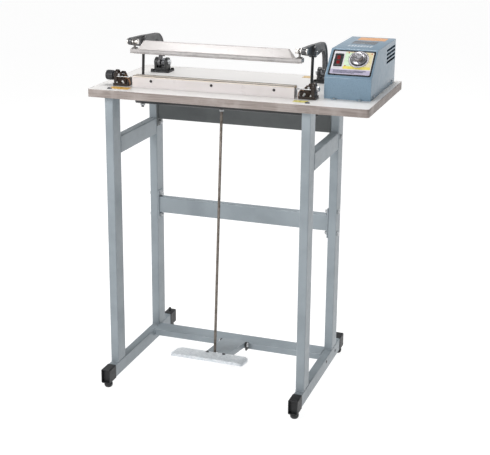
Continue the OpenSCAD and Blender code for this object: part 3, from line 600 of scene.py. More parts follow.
PIVOT = joint_place("head_hinge")
NOSE = joint_place("jaw_tilt") - PIVOT
ROD_PIN = joint_place("pull_rod_hinge") - PIVOT
DIAL = joint_place("timer_turn")
DIAL_AXIS = Vector(JOINTS["timer_turn"]["axis"])
MID = PIVOT.x
BOARD = Box("table_board")
TABLE = BOARD.z1
SEAL = Box("lower_jaw_bar")
CASE = Box("box_cover")
FILM = Box("face_label")
# Half the clevis of an arm, which is what its box reaches inwards
CLEVIS_HALF = 10
ARM_HALF = MID - Box("left_arm").x1 + CLEVIS_HALF
HEAD_SIDES = ((-1, at(MID - ARM_HALF, PIVOT.y, PIVOT.z)),
              (1, at(MID + ARM_HALF, PIVOT.y, PIVOT.z) @ Matrix.Diagonal((-1, 1, 1, 1))))
# The slanting panel is square to the dial's axis: X across, Y up the slope, Z out of it
PANEL_ANGLE = math.atan2(-DIAL_AXIS.y, DIAL_AXIS.z)
PANEL_FOOT = DIAL.z - (DIAL.y - CASE.y0) * math.tan(PANEL_ANGLE)
PANEL = at(0, CASE.y0, PANEL_FOOT) @ Matrix.Rotation(PANEL_ANGLE, 4, "X")
DIAL_ON_PANEL = PANEL.inverted() @ DIAL
ROCKER_ON_PANEL = PANEL.inverted() @ joint_place("rocker_tilt")
ON_DIAL = PANEL @ at(DIAL_ON_PANEL.x, DIAL_ON_PANEL.y)
# The dial's scale starts at the lower left and runs clockwise, in degrees
DIAL_START, DIAL_SWEEP = 225, 270
# Local X, Y, Z become the row frame's X, Z, Y
ALONG_Y = Matrix(((1, 0, 0, 0), (0, 0, 1, 0), (0, 1, 0, 0), (0, 0, 0, 1)))


# ---------- camera, light and floor ----------

def add_camera():
    """Long lens, standing well to the right of the machine and looking down on it a little."""
    yaw, pitch = 0.3585, 0.2838
    data = bpy.data.cameras.new("camera")
    data.sensor_width = 36
    data.lens = 84.607
    # The machine stands off the lens's axis, by these shares of the picture's width
    data.shift_x, data.shift_y = 0.07143, -0.06796
    data.clip_end = 120
    camera = bpy.data.objects.new("camera", data)
    camera.location = (1.0316, -3.0548, 1.5023)
    camera.rotation_euler = (math.pi / 2 - pitch, 0, yaw)
    bpy.context.scene.collection.objects.link(camera)
    bpy.context.scene.camera = camera


def add_area_light(name, place, target, size, power):
    data = bpy.data.lights.new(name, "AREA")
    data.shape = "SQUARE"
    data.size = size
    data.energy = power
    light = bpy.data.objects.new(name, data)
    light.location = place
    light.rotation_euler = (Vector(target) - Vector(place)).to_track_quat("-Z", "Y").to_euler()
    light.visible_camera = False
    bpy.context.scene.collection.objects.link(light)


def add_studio():
    """Weak sky with a white horizon, a glowing white floor and soft lamps all round."""
    world = bpy.data.worlds.new("studio")
    world.use_nodes = True
    tree = world.node_tree
    background = tree.nodes["Background"]
    sky = tree.nodes.new("ShaderNodeTexCoord")
    split = tree.nodes.new("ShaderNodeSeparateXYZ")
    level = tree.nodes.new("ShaderNodeMapRange")
    for socket, value in (("From Min", 0.06), ("From Max", 0.25), ("To Min", 1.0), ("To Max", 0.14)):
        level.inputs[socket].default_value = value
    tree.links.new(sky.outputs["Generated"], split.inputs[0])
    tree.links.new(split.outputs["Z"], level.inputs["Value"])
    tree.links.new(level.outputs["Result"], background.inputs["Strength"])
    background.inputs["Color"].default_value = (1, 1, 1, 1)
    bpy.context.scene.world = world
    add_area_light("front_key", (-0.9, -2.3, 2.2), (0, 0, 0.5), 1.3, 55)
    add_area_light("overhead", (0.1, 0.95, 3.2), (0, 0, 0.9), 1.3, 58)
    add_area_light("low_right", (1.15, -0.3, 0.35), (0.24, 0, 0.4), 0.5, 0.7)
    add_area_light("back_fill", (-3.0, 2.0, 1.6), (0, 0, 0.6), 1.6, 55)
    bm = bmesh.new()
    reach = 60000
    bm.faces.new([bm.verts.new((x * reach, y * reach, 0)) for x, y in ((-1, -1), (1, -1), (1, 1), (-1, 1))])
    new_object("studio_floor", bm, floor_paint())
    bpy.context.scene.view_settings.view_transform = "Standard"


# ---------- CAD nodes that keep their shape ----------

# Nodes, slot, width of their softened edges in millimetres, own material, segments of the edges
DRESSING = (
    ("left_front_leg right_front_leg left_rear_leg right_rear_leg side_rails floor_rails "
     "bottom_beam mid_beam leg_top_plates", "blue_grey_paint"),
    ("pedal_arm", "blue_grey_paint", 0.6),
    # The apron's darker coat is painted shade from the table above it
    ("rear_apron", "blue_grey_paint", 0, "apron_paint"),
    ("rail_end_caps leveling_feet", "black_plastic", 0.7),
    ("fuse_holder cable_gland", "black_plastic", 0.3),
    ("frame_bolts terminal_screws box_screws arm_rod_pins arm_pivot_pins pedal_hinge_pin "
     "pedal_cross_pin rod_nuts", "zinc_steel", 0.35),
    ("bracket_screws plate_screws", "zinc_steel", 0.35, "old_screws"),
    ("table_bolts", "dark_bolts", 0.3),
    ("table_board", "white_laminate"),
    ("edge_band", "taupe_edging", 0.4),
    ("left_pivot_bracket right_pivot_bracket", "black_paint", 1.0, None, 3),
    ("tie_bar pedal_hinge_lugs side_pull_rods", "black_paint", 0.5),
    ("return_springs", "spring_steel"),
    ("left_arm right_arm", "cast_arm"),
    ("jaw_stub_shafts", "bright_steel", 0.6, None, 3),
    ("arm_bushes", "bronze"),
    ("terminal_clamps", "bronze", 0.6),
    ("jaw_hangers", "dark_steel", 0.5),
    ("centre_rod", "brown_steel", 0.4),
    ("upper_jaw_rail lower_jaw_bar", "aluminium_rail"),
    ("upper_jaw_cover", "ivory_sheet"),
    ("jaw_side_plates", "ivory_sheet", 0.3),
    ("silicone_strip", "silicone"),
    ("pedal_tread", "pedal_aluminium"),
    ("insulating_strip", "mica_board"),
    ("heating_element", "element_ribbon"),
    ("ptfe_cover", "ptfe_cloth"),
    ("terminal_bases", "bakelite", 0.6),
    ("tension_knob", "knob_black"),
    ("box_base", "hammered_blue", 0.3),
    ("box_cover", "hammered_blue"),
    ("face_label", "panel_film"),
    ("rocker_housing", "black_plastic", 0.5),
    ("power_rocker", "red_lens", 0.3),
    ("timer_knob", "dial_metal"),
    ("circuit_board", "board_green"),
    ("transformer", "transformer_iron", 0.5),
)


# ---------- stand and table ----------

def add_weld_beads():
    """Rippled fillets where the legs stand on the floor rails and where the side rails meet the legs."""
    bm = bmesh.new()
    rng = random.Random(4)
    rails = Box("side_rails")

    def bead(start, end):
        start, end = Vector(start), Vector(end)
        count = max(3, int((end - start).length / 2.2))
        for i in range(count):
            spot = start.lerp(end, (i + 0.5) / count)
            bmesh.ops.create_icosphere(bm, subdivisions=2, radius=1.7 + 0.3 * rng.random(), matrix=at(*spot))

    for name in ("left_front_leg", "right_front_leg", "left_rear_leg", "right_rear_leg"):
        leg = Box(name)
        inside = 0.3
        for x in (leg.x0 + inside, leg.x1 - inside):
            bead((x, leg.y0 + 3, leg.z0), (x, leg.y1 - 3, leg.z0))
        for y in (leg.y0, leg.y1):
            bead((leg.x - 9, y, leg.z0), (leg.x + 9, y, leg.z0))
        joint_y = rails.y0 if "front" in name else rails.y1
        for z in (rails.z0, rails.z1):
            bead((leg.x - 9, joint_y, z), (leg.x + 9, joint_y, z))
        for x in (leg.x0 + inside, leg.x1 - inside):
            bead((x, joint_y, rails.z0 + 4), (x, joint_y, rails.z1 - 4))
    piece("weld_beads", bm, "blue_grey_paint", "stand")


def add_rail_screws():
    """Round-headed screws in the outer faces of the floor rails, either side of the bottom beam."""
    bm = bmesh.new()
    rails, beam = Box("floor_rails"), Box("bottom_beam")
    for side, x in ((-1, rails.x0), (1, rails.x1)):
        for y, z in ((beam.y1 + 17, beam.z0 + 1), (beam.y0 - 19, beam.z0 + 8)):
            place = at(x, y, z) @ Matrix.Diagonal((side, 1, 1, 1)) @ ALONG_X
            add_lathe(bm, [(0, -1), (5, -1), (5, 0.3), (4.3, 0.8), (2.6, 1.2), (0, 1.4)], place, 24)
    piece("rail_screws", bm, "dark_bolts", "stand")


def add_stickers():
    """Blank coloured stickers on the table: one in front of each terminal and one behind the jaw."""
    ends, bracket = Box("terminal_bases"), Box("right_pivot_bracket")
    spots = (("left_sticker", (ends.x0 + 4, ends.x0 + 64, ends.y0 - 42, ends.y0 - 12), "amber"),
             ("right_sticker", (ends.x1 - 52, ends.x1 - 13, ends.y0 - 41, ends.y0 - 16), "yellow"),
             ("rear_sticker", (bracket.x0 - 53, bracket.x0 - 24, BOARD.y1 - 45, BOARD.y1 - 15), "tan"))
    for name, (x0, x1, y0, y1), ink in spots:
        bm = bmesh.new()
        middle = ((x0 + x1) / 2, (y0 + y1) / 2)
        add_prism(bm, round_rect(x1 - x0, y1 - y0, 2, middle), TABLE, TABLE + 0.15)
        add_prism(bm, round_rect(x1 - x0 - 5, y1 - y0 - 5, 1, middle), TABLE + 0.1, TABLE + 0.2, slot=1)
        piece(name, bm, "panel_film", "stand", materials=[INKS[ink], INKS[ink + "_field"]])


# ---------- sealing head ----------

def arm_outline():
    """Gooseneck in Y and Z from the pivot: up over the table, forward to the nose, back under the clevis."""
    nose, clevis = (NOSE.y, NOSE.z), (ROD_PIN.y, ROD_PIN.z + 4)
    return (arc((-50, 41), 54, 0, 90, 18) + [(-150, 102)] + arc(nose, 10, 88, 262, 12) + [(-180, 75)]
            + arc(clevis, 16, 215, 290, 8) + [(-92, 67)] + arc((-50, 37), 34, 90, 0, 14)
            + [(-13, 0), (10, 0)])


def add_arms():
    """Gooseneck castings: a thin web inside a thick rim, with bosses for the pivot and the rod pin."""
    web_half, rim, web_depth = 6.5, 5.2, 3.6
    pin_y, pin_z = ROD_PIN.y, ROD_PIN.z
    for side, place in HEAD_SIDES:
        name = "left_arm" if side < 0 else "right_arm"
        bm = bmesh.new()
        faces = add_prism(bm, arm_outline(), -web_half, web_half, ALONG_X)
        bmesh.ops.recalc_face_normals(bm, faces=bm.faces)
        for face in faces[:2]:
            bmesh.ops.inset_region(bm, faces=[face], thickness=rim, depth=-web_depth, use_even_offset=True)
        add_rod(bm, 15, -12, -1.5, ALONG_X, 1.2)
        add_rod(bm, 10, -web_half, web_half, at(0, NOSE.y, NOSE.z) @ ALONG_X, 0.8)
        add_rod(bm, 16, -CLEVIS_HALF, CLEVIS_HALF, at(0, pin_y, pin_z + 4) @ ALONG_X, 1.5)
        obj = new_object(name + "_casting", bm, MATERIALS["cast_arm"])
        melt(obj, voxel=1.1, rounds=4, keep=0.35)
        cut(obj, [
            cutter(lambda b: add_rod(b, 7.5, -13, 20, ALONG_X, 0)),
            cutter(lambda b: add_rod(b, 18, -1.5, 20, ALONG_X, 0)),
            cutter(lambda b: add_box(b, (-5.05, pin_y - 13, pin_z - 30), (5.05, pin_y + 13, pin_z + 11))),
            cutter(lambda b: add_rod(b, 3.6, -20, 20, at(0, pin_y, pin_z) @ ALONG_X, 0)),
            cutter(lambda b: add_rod(b, 6.1, -20, 20, at(0, NOSE.y, NOSE.z) @ ALONG_X, 0))], 40)
        obj.data.transform(Matrix.Scale(MM, 4) @ place @ Matrix.Scale(1 / MM, 4))
        if side > 0:
            obj.data.flip_normals()
        attach(obj, "head", [name])


def add_return_springs():
    """Torsion springs of round wire wound round the pivot pins."""
    coils = Box("return_springs")
    wire = 1.1
    radius = (coils.y1 - coils.y0) / 2 - wire
    turns, steps = 4, 96
    bm = bmesh.new()
    for side, place in HEAD_SIDES:
        path = []
        for i in range(steps + 1):
            angle = math.radians(200 + 360 * turns * i / steps)
            along = 0.3 + 10.2 * i / steps
            path.append(place @ Vector((along, radius * math.cos(angle), radius * math.sin(angle))))
        add_sweep(bm, path, wire, 10)
    piece("torsion_springs", bm, "spring_steel", "stand", ["return_springs"])


def add_upper_jaw():
    """Grooved aluminium channel under a folded sheet hood whose top is narrow and whose ends slope."""
    rail, strip, hood = Box("upper_jaw_rail"), Box("silicone_strip"), Box("upper_jaw_cover")
    half, groove = (rail.y1 - rail.y0) / 2, (strip.y1 - strip.y0) / 2
    low, high, middle = rail.z0, rail.z1, rail.y
    lip = half - 2.4
    right = [(groove, low), (half - 0.8, low), (half, low + 0.8), (half, low + 2.2), (lip, low + 2.3),
             (lip, low + 4), (half, low + 4.1), (half, high - 2), (lip, high - 1.9), (lip, high)]
    outline = [(middle + y, z) for y, z in right] + [(middle - y, z) for y, z in reversed(right)]
    outline += [(middle - groove, strip.z1), (middle + groove, strip.z1)]
    bm = bmesh.new()
    add_prism(bm, outline, rail.x0, rail.x1, ALONG_X)
    piece("jaw_channel", bm, "aluminium_rail", "upper_jaw", ["upper_jaw_rail"])

    bm = bmesh.new()
    top_half, end_slope = 5, 15
    ends = []
    for x_low, x_top in ((hood.x0, hood.x0 + end_slope), (hood.x1, hood.x1 - end_slope)):
        ends.append([bm.verts.new(spot) for spot in (
            (x_low, hood.y0, hood.z0), (x_low, hood.y1, hood.z0),
            (x_top, hood.y + top_half, hood.z1), (x_top, hood.y - top_half, hood.z1))])
    join_rings(bm, ends)
    bevel_edges(bm, 1.6, 4, 20, lambda e: max(v.co.z for v in e.verts) > hood.z1 - 1)
    # Hems folded flat along both foot edges
    for y0, y1 in ((hood.y0, hood.y0 + 1.8), (hood.y1 - 1.8, hood.y1)):
        add_box(bm, (hood.x0 + 1, y0, hood.z0), (hood.x1 - 1, y1, hood.z0 + 1.4))
    # The hood wears the darker ivory copy, painted shade against its brightly lit faces
    piece("jaw_hood", bm, "ivory_sheet", "upper_jaw", ["upper_jaw_cover"], MATERIALS["hood_shaded_enamel"])


def add_lower_jaw():
    """PTFE cloth stretched over the heating line, held by a thin steel strip along each top edge."""
    cover = Box("ptfe_cover")
    skin = 0.3
    side, top, foot = cover.y1 - SEAL.y - skin, cover.z1 - skin, cover.z0
    right = [(0, top + 0.05), (4, top), (side - 1.2, top - 0.15), (side - 0.25, top - 0.9), (side, top - 3),
             (side, foot + 12), (side, foot)]
    outline = [(SEAL.y - y, z) for y, z in reversed(right[1:])] + [(SEAL.y + y, z) for y, z in right]
    columns = 94
    rng = random.Random(7)
    bm = bmesh.new()
    rows = []
    for i in range(columns + 1):
        x = cover.x0 + (cover.x1 - cover.x0) * i / columns
        rows.append([bm.verts.new((x, y, z + (0.1 * rng.random() if z > top - 0.5 else 0)))
                     for y, z in outline])
    for left_row, right_row in zip(rows, rows[1:]):
        for k in range(len(outline) - 1):
            bm.faces.new((left_row[k], right_row[k], right_row[k + 1], left_row[k + 1]))
    obj = new_object("ptfe_sheet", bm, MATERIALS["ptfe_cloth"], 60)
    thick = obj.modifiers.new("thickness", "SOLIDIFY")
    thick.thickness = 0.3 * MM
    thick.offset = 0
    finish_mesh(obj)
    smooth(obj, 60)
    attach(obj, "stand", ["ptfe_cover"])

    bm = bmesh.new()
    for y0, y1 in ((cover.y0 + 0.3, cover.y0 + 2.1), (cover.y1 - 2.1, cover.y1 - 0.3)):
        add_box(bm, (cover.x0 - 1, y0, cover.z1 - 0.1), (cover.x1 + 1, y1, cover.z1 + 0.7))
    bevel_edges(bm, 0.25, 1)
    piece("cloth_clips", bm, "dark_steel", "stand")


# ---------- terminals ----------

def add_cheeks(bm, place):
    """Blackened cheek plates with folded feet; X runs inwards from the outer end of the base."""
    profile = rounded([(40, 7), (6, 7), (6, 30), (15, 38), (26, 38), (34, 22), (40, 18)], 2.2)
    for y in (-14.6, 12.8):
        add_prism(bm, profile, y, y + 1.8, place @ ALONG_Y)
    for y0, y1 in ((-17, -13.4), (13.4, 18.6)):
        add_box(bm, (8, y0, 7), (39, y1, 8.6), place)
    bevel_edges(bm, 0.35, 2)


def add_terminal_hardware(bm, place):
    """Bright clamp bar across the front, screws and a pressure spring."""
    add_rod(bm, 1.7, 13, 53, place @ at(0, -16.4, 27.2) @ ALONG_X, 0.4, 16)
    for x, y in ((33, -15.4), (13, -15.4), (33, 16), (13, 16)):
        add_hex(bm, 3, 8.6, 11.4, place @ at(x, y, 0))
        add_rod(bm, 1.7, 11, 13.4, place @ at(x, y, 0), 0.3, 16)
    for x, z in ((30, 14), (19, 32)):
        add_hex(bm, 3.4, 0, 2.2, place @ at(x, -14.6, z) @ turned(90, "X"))
    spring = []
    for i in range(61):
        angle = math.tau * i / 15
        x, y, z = 16.5 - 4.3 * i / 60, 4.1 * math.cos(angle), 27 + 4.1 * math.sin(angle)
        spring.append(place @ Vector((x, y, z)))
    add_sweep(bm, spring, 0.5, 8)


def add_contact_strap(bm, place):
    """Springy copper leaf from the clamp down to the table."""
    line = [Vector(p) for p in ((34, 23), (40, 24), (44.5, 22.5), (48, 17), (49.5, 9), (49, 3), (46, 0.8),
                                (41, 0.8))]
    rings = []
    for i, spot in enumerate(line):
        along = (line[min(i + 1, len(line) - 1)] - line[max(i - 1, 0)]).normalized()
        across = Vector((-along.y, along.x)) * 0.4
        rings.append([bm.verts.new(place @ Vector((spot.x + across.x * k, y, spot.y + across.y * k)))
                      for y, k in ((-12, 1), (-5, 1), (-5, -1), (-12, -1))])
    join_rings(bm, rings)


def add_terminals():
    bases = Box("terminal_bases")
    for side, outer in ((-1, bases.x0), (1, bases.x1)):
        tag = "left" if side < 0 else "right"
        place = at(outer, SEAL.y, TABLE) @ Matrix.Diagonal((-side, 1, 1, 1))
        for part, draw, slot, material in (
                ("cheeks", add_cheeks, "dark_steel", "burnt_steel"),
                ("hardware", add_terminal_hardware, "zinc_steel", "zinc_steel"),
                ("strap", add_contact_strap, "bronze", "copper_strap")):
            bm = bmesh.new()
            draw(bm, place)
            piece(f"{tag}_terminal_{part}", bm, slot, "stand", materials=MATERIALS[material])


def add_tension_knob():
    """Fluted phenolic knob with a turned collar and a domed end, on its steel spindle."""
    knob = Box("tension_knob")
    length, flute = 26, 1.1
    radius = (knob.y1 - knob.y0) / 2

    def flutes(angle, r):
        return r - flute * max(0.0, math.cos(12 * angle)) ** 2 if r > 0.9 * radius else r

    place = at(knob.x0 + length, knob.y, knob.z) @ turned(-90, "Y")
    bm = bmesh.new()
    add_lathe(bm, [(0, 0), (8.6, 0), (9, 0.4), (9, 3), (12, 3), (13.2, 3.6), (radius - 0.1, 5), (radius, 8),
                   (radius, 21), (13.7, 24), (12.4, 25.4), (9, 25.8), (8.4, 25.2), (0, 25.0)],
              place, 96, ripple=flutes)
    add_rod(bm, 2.4, length - (knob.x1 - knob.x0), 1, place, 0.3, 24, 1)
    add_lathe(bm, [(0, 24.8), (3.6, 24.8), (3.6, 25.8), (3.1, length), (0, length)], place, 24, 1)
    piece("fluted_knob", bm, "knob_black", "tension_dial", ["tension_knob"],
          [MATERIALS["knob_black"], MATERIALS["zinc_steel"]])


# ---------- control box ----------

VENT_COUNT, VENT_PITCH, VENT_H = 4, 11, 7.4
VENT_Z = TABLE + 70
VENT_Y0, VENT_Y1 = CASE.y1 - 117, CASE.y1 - 6
# Middle of each screw tab on the front of the base
TAB_X = (CASE.x0 + 29, CASE.x1 - 29)


def case_outline(t):
    """Side outline of the box in Y and Z, moved inwards by t."""
    lift = t * math.tan(PANEL_ANGLE / 2)
    run = (CASE.z1 - PANEL_FOOT) / math.tan(PANEL_ANGLE)
    return [(CASE.y0 + t, TABLE), (CASE.y0 + t, PANEL_FOOT - lift), (CASE.y0 + run + lift, CASE.z1 - t),
            (CASE.y1 - t, CASE.z1 - t), (CASE.y1 - t, TABLE)]


def panel_openings():
    """Cutters for the rocker's and the dial's openings, square to the panel."""
    half_w, half_len, dial_r, depth = 9.5, 17.5, 5, 5
    on_rocker = PANEL @ at(ROCKER_ON_PANEL.x, ROCKER_ON_PANEL.y)
    return [cutter(lambda b: add_box(b, (-half_w, -half_len, -depth), (half_w, half_len, depth), on_rocker)),
            cutter(lambda b: add_rod(b, dial_r, -depth, depth, ON_DIAL, 0))]


def add_case():
    """Folded steel cover with soft bends, cooling slots and openings for the controls."""
    wall = 1.5
    gland, fuse, base = Box("cable_gland"), Box("fuse_holder"), Box("box_base")
    bm = bmesh.new()
    add_prism(bm, rounded(case_outline(0), [0, 3, 3, 3, 0]), CASE.x0, CASE.x1, ALONG_X)
    bevel_edges(bm, 2.0, 4, 60, lambda e: min(v.co.z for v in e.verts) > TABLE + 0.5
                or abs(e.verts[0].co.z - e.verts[1].co.z) > 1)
    cover = new_object("box_shell", bm, MATERIALS["hammered_blue"])
    inner = [(y, z - 3 if z == TABLE else z) for y, z in case_outline(wall)]
    cutters = [cutter(lambda b: add_prism(b, inner, CASE.x0 + wall, CASE.x1 - wall, ALONG_X))]
    vent_mid, vent_run = (VENT_Y0 + VENT_Y1) / 2, VENT_Y1 - VENT_Y0
    for i in range(VENT_COUNT):
        slot = round_rect(vent_run, VENT_H, 2.2, (vent_mid, VENT_Z + VENT_PITCH * i + VENT_H / 2))
        cutters.append(cutter(lambda b: add_prism(b, slot, CASE.x0 - 5, CASE.x1 + 5, ALONG_X)))
    for x in TAB_X:
        low, high = (x - 7.3, CASE.y0 - 1, TABLE - 1), (x + 7.3, CASE.y0 + 3, TABLE + 2)
        cutters.append(cutter(lambda b: add_box(b, low, high)))
    for part, radius in ((gland, 8), (fuse, 6.2)):
        place = at(part.x, CASE.y1 - 10, part.z) @ turned(-90, "X")
        cutters.append(cutter(lambda b: add_rod(b, radius, 0, 20, place, 0)))
    cut(cover, cutters + panel_openings(), 38)
    attach(cover, "stand", ["box_cover"])

    bm = bmesh.new()
    lip = [(-1, -0.2), (0.9, -0.7), (1.2, -0.2), (0.9, 0.7), (-1, 1.4)]
    for x, out in ((CASE.x1 - 1, 1), (CASE.x0 + 1, -1)):
        for i in range(VENT_COUNT + 1):
            z = VENT_Z + VENT_PITCH * (i - 1) + VENT_H
            add_prism(bm, [(a * out, b) for a, b in lip], VENT_Y0 + 1, VENT_Y1 - 1, at(x, 0, z) @ ALONG_Y)
    # The lips take the paler paint, a painted highlight along each slot's edge
    piece("louvre_lips", bm, "hammered_blue", "stand", materials=MATERIALS["lip_highlight_paint"])

    bm = bmesh.new()
    for x in TAB_X:
        place = at(x, (base.y0 + CASE.y0) / 2, TABLE + 1.5)
        add_washer(bm, 4.2, 0.7, place)
        add_lathe(bm, [(0, 0.6), (3.2, 0.6), (3.1, 1.6), (2.2, 2.5), (0, 2.8)], place, 24)
    piece("tab_screws", bm, "zinc_steel", "stand")


def add_panel():
    """Printed panel: black border, pale field, cream dial field with a scale, and a strip along the foot."""
    x0, x1 = FILM.x0, FILM.x1
    v0 = (FILM.z0 - PANEL_FOOT) / math.sin(PANEL_ANGLE)
    v1 = (FILM.y1 - CASE.y0) / math.cos(PANEL_ANGLE)
    mid, size = ((x0 + x1) / 2, (v0 + v1) / 2), (x1 - x0, v1 - v0)
    dial, rocker = (DIAL_ON_PANEL.x, DIAL_ON_PANEL.y), (ROCKER_ON_PANEL.x, ROCKER_ON_PANEL.y)
    inks = ["black", "white", "cream", "lavender", "slate", "yellow", "mint", "red"]
    bm = bmesh.new()
    add_prism(bm, round_rect(size[0], size[1], 4, mid), 0.02, 0.8, PANEL)
    bevel_edges(bm, 0.2, 1)

    def layer(outline, level, ink):
        add_prism(bm, outline, 0.6, 0.8 + level * 0.03, PANEL, inks.index(ink))

    def disc(centre, radius, level, ink):
        layer(arc(centre, radius, 0, 360, 48)[:-1], level, ink)

    layer(round_rect(size[0] - 9, size[1] - 9, 3, mid), 1, "white")
    layer(round_rect(size[0] - 10, 15, 2, (mid[0], v0 + 12.5)), 2, "lavender")
    layer(round_rect(76, 57, 3, (x1 - 43.4, v0 + 50.5)), 2, "cream")
    layer(round_rect(20, 46, 3, (x0 + 46, v0 + 53)), 3, "mint")
    layer(round_rect(74, 9, 1, (x1 - 43.4, v0 + 26.5)), 4, "yellow")
    layer(round_rect(24, 42, 2, rocker), 2, "black")
    disc(dial, 27.6, 5, "slate")
    disc(dial, 26.8, 6, "white")
    for i in range(31):
        angle = math.radians(DIAL_START - DIAL_SWEEP * i / 30)
        inner, width = (23.6, 0.45) if i % 3 == 0 else (25.2, 0.28)
        along = Vector((math.cos(angle), math.sin(angle)))
        across = Vector((-along.y, along.x))
        corners = [Vector(dial) + along * r + across * w
                   for r, w in ((inner, -width), (26.6, -width), (26.6, width), (inner, width))]
        layer([(p.x, p.y) for p in corners], 7, "black")
    for spot in ((x0 + 44.5, v1 - 8.5), (x1 - 10, v1 - 8.5), (x0 + 41, v0 + 32)):
        disc(spot, 2, 5, "red")
    for v, reach in ((v0 + 16, 90), (v0 + 12.6, 82), (v0 + 9.2, 58)):
        layer(round_rect(reach, 1.6, 0.4, (x0 + 12 + reach / 2, v)), 4, "slate")
    film = new_object("printed_panel", bm, [INKS[name] for name in inks])
    cut(film, panel_openings(), layered=True)
    attach(film, "stand", ["face_label"])


def add_digits():
    """Generic dial numbers, 0 to 9, outside the scale."""
    for number in range(10):
        angle = math.radians(DIAL_START - DIAL_SWEEP * number / 9)
        data = bpy.data.curves.new(f"digit_{number}", "FONT")
        data.body = str(number)
        data.size = 4.2 * MM
        data.extrude = 0.04 * MM
        data.align_x = "CENTER"
        data.align_y = "CENTER"
        obj = bpy.data.objects.new(f"dial_digit_{number}", data)
        spot = ON_DIAL @ at(30.6 * math.cos(angle), 26.4 * math.sin(angle), 1.0)
        obj.matrix_world = Matrix.Scale(MM, 4) @ spot @ Matrix.Scale(1 / MM, 4)
        bpy.context.scene.collection.objects.link(obj)
        data.materials.append(INKS["black"])
        attach(obj, "stand")


def add_rocker():
    """Black rocker with a translucent red lens let into each of its two faces."""
    tilt = at(*ROCKER_ON_PANEL) @ turned(8.5, "X")
    place = PANEL @ tilt @ ALONG_X
    radius, tip = 15.2, 27.7
    bm = bmesh.new()
    body = (arc((0, 0), radius, -8, tip, 6) + [(0, 5.2)] + arc((0, 0), radius, 180 - tip, 188, 6)
            + [(-4, -6), (4, -6)])
    add_prism(bm, body, -7.5, 7.5, place)
    bevel_edges(bm, 0.5, 3, 25)
    for sign in (-1, 1):
        inner, outer = Vector((sign * 2.2, 5.35)), Vector((sign * 12.4, 7.0))
        normal = Vector((-sign * (outer.y - inner.y), abs(outer.x - inner.x))).normalized()
        lens = [inner - normal * 0.8, outer - normal * 0.8, outer + normal * 0.35, inner + normal * 0.35]
        add_prism(bm, [(p.x, p.y) for p in lens], -4.5, 4.5, place, 1)
    add_rod(bm, 1.45, -8.8, 8.8, place, 0.2, 16)
    piece("rocker_lens", bm, "red_lens", "rocker", ["power_rocker"],
          [MATERIALS["black_plastic"], MATERIALS["red_lens"]])


def add_timer_knob():
    """Spun skirt with a dark rim, a grip bored for the control's shaft and a turned cap with a pointer."""
    place = ON_DIAL
    grip, bore, bore_end = 13.0, 3.05, 13.0

    def knurl(angle, r):
        return r - 0.55 * max(0.0, math.cos(30 * angle)) if r == grip else r

    bm = bmesh.new()
    add_lathe(bm, [(bore, 1.3), (22.4, 1.3), (23, 1.7), (23, 2.9), (22.5, 3.5), (bore, 3.5)],
              place, 96, 1, closed=True)
    add_lathe(bm, [(bore, 3.0), (20.9, 3.2), (20.7, 3.8), (18.6, 3.9), (18.2, 4.4), (15.6, 6.4), (13.6, 6.6),
                   (bore, 6.6)], place, 96, closed=True)
    add_lathe(bm, [(0, bore_end), (bore, bore_end), (bore, 6.4), (grip, 6.4), (grip, 15.6), (12.4, 16.4),
                   (0, 16.4)], place, 180, 2, ripple=knurl)
    add_lathe(bm, [(0, 16.0), (11.7, 16.2), (11.7, 16.9), (11, 17.2), (8.4, 17.25), (8.2, 16.8), (0, 16.7)],
              place, 96)
    pointer = place @ turned(DIAL_START, "Z")
    add_box(bm, (3.5, -0.7, 16.5), (11.4, 0.7, 17.28), pointer, 1)
    for i in range(28):
        mark = place @ turned(DIAL_START - DIAL_SWEEP * i / 27, "Z")
        add_box(bm, (18.9 if i % 3 == 0 else 19.7, -0.22, 3.5), (20.6, 0.22, 3.98), mark, 1)
    piece("turned_knob", bm, "dial_metal", "timer_dial", ["timer_knob"],
          [MATERIALS["dial_metal"], MATERIALS["knob_black"], MATERIALS["knob_grip"]], angle=40)


def add_lid_notice():
    """Blank notice on the lid: a plain orange band, a dark field and a row of pale blocks."""
    bm = bmesh.new()
    x0, y1 = CASE.x0, CASE.y1
    rng = random.Random(3)
    inks = ["slate", "orange", "grey", "haze"]

    def layer(left, right, front, back, level, ink, radius=1.0):
        outline = round_rect(right - left, back - front, radius, ((left + right) / 2, (front + back) / 2))
        add_prism(bm, outline, CASE.z1 - 0.1, CASE.z1 + 0.05 * level, slot=inks.index(ink))

    layer(x0 + 31, x0 + 110, y1 - 66, y1 - 13, 2, "orange")
    layer(x0 + 30, x0 + 98, y1 - 136, y1 - 82, 2, "slate")
    layer(x0 + 35, x0 + 66, y1 - 126, y1 - 118, 3, "grey", 0.4)
    for i in range(8):
        left = x0 + 32 + 8.6 * i
        layer(left, left + 4.5 + 1.5 * rng.random(), y1 - 186, y1 - 160, 2, "haze", 0.8)
    piece("lid_notice", bm, "panel_film", "stand", materials=[INKS[name] for name in inks])


# ---------- pedal ----------

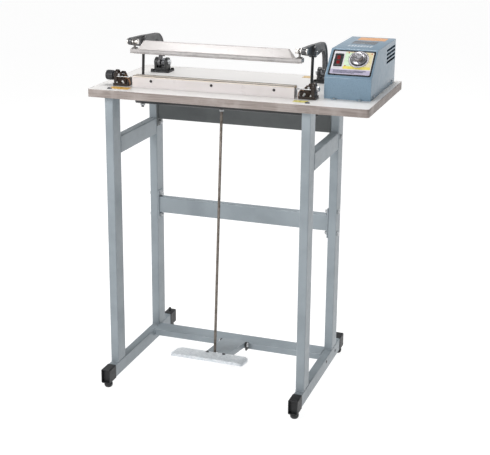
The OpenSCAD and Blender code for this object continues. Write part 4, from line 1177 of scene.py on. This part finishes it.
def add_pedal_tread():
    """Tread tray with round corners and a rim turned down, its two ends bent a little."""
    tread = Box("pedal_tread")
    rest_tilt = turned(-8, "X")
    hinge = at(*joint_place("pedal_hinge")) @ rest_tilt
    middle = hinge.inverted() @ Vector((tread.x, tread.y, tread.z))
    width, depth, sheet, rim, bend = tread.x1 - tread.x0, 72, 3, 6, 14
    corner, underside, wall = 16, 9, 2.5
    place = hinge @ at(middle.x, -196, underside)
    fold = width / 2 - bend
    bm = bmesh.new()
    add_prism(bm, round_rect(width, depth, corner, steps=10), -rim, sheet)
    bevel_edges(bm, 1.3, 4, 50)
    tray = new_object("tread_plate", bm, MATERIALS["pedal_aluminium"])
    hollow = round_rect(width - 2 * wall, depth - 2 * wall, corner - wall)
    # Half the gap in the rear rim where the pedal arm enters
    notch = 38
    cut(tray, [cutter(lambda b: add_prism(b, hollow, -rim - 1, 0)),
               cutter(lambda b: add_box(b, (-middle.x - notch, 0, -rim - 1), (-middle.x + notch, depth, 0)))])
    shape = bmesh.new()
    shape.from_mesh(tray.data)
    shape.transform(Matrix.Scale(1 / MM, 4))
    for x in (-fold, fold):
        bmesh.ops.bisect_plane(shape, geom=list(shape.verts) + list(shape.edges) + list(shape.faces),
                               plane_co=(x, 0, 0), plane_no=(1, 0, 0))
    for vert in shape.verts:
        vert.co.z -= max(0.0, abs(vert.co.x) - fold) * math.tan(math.radians(11))
    shape.transform(place)
    shape.transform(Matrix.Scale(MM, 4))
    shape.to_mesh(tray.data)
    shape.free()
    attach(smooth(tray), "pedal", ["pedal_tread"])

    bm = bmesh.new()
    for x in (-26, 26):
        spot = hinge @ at(x, -168, underside + sheet)
        add_lathe(bm, [(0, -0.4), (5.4, -0.4), (5.2, 0.8), (3.4, 2.2), (0, 2.7)], spot, 24)
    piece("tread_rivets", bm, "dark_bolts", "pedal")


add_camera()
add_studio()
for nodes, *looks in DRESSING:
    dress(nodes.split(), *looks)
add_weld_beads()
add_rail_screws()
add_stickers()
add_arms()
add_return_springs()
add_upper_jaw()
add_lower_jaw()
add_terminals()
add_tension_knob()
add_case()
add_panel()
add_digits()
add_rocker()
add_timer_knob()
add_lid_notice()
add_pedal_tread()
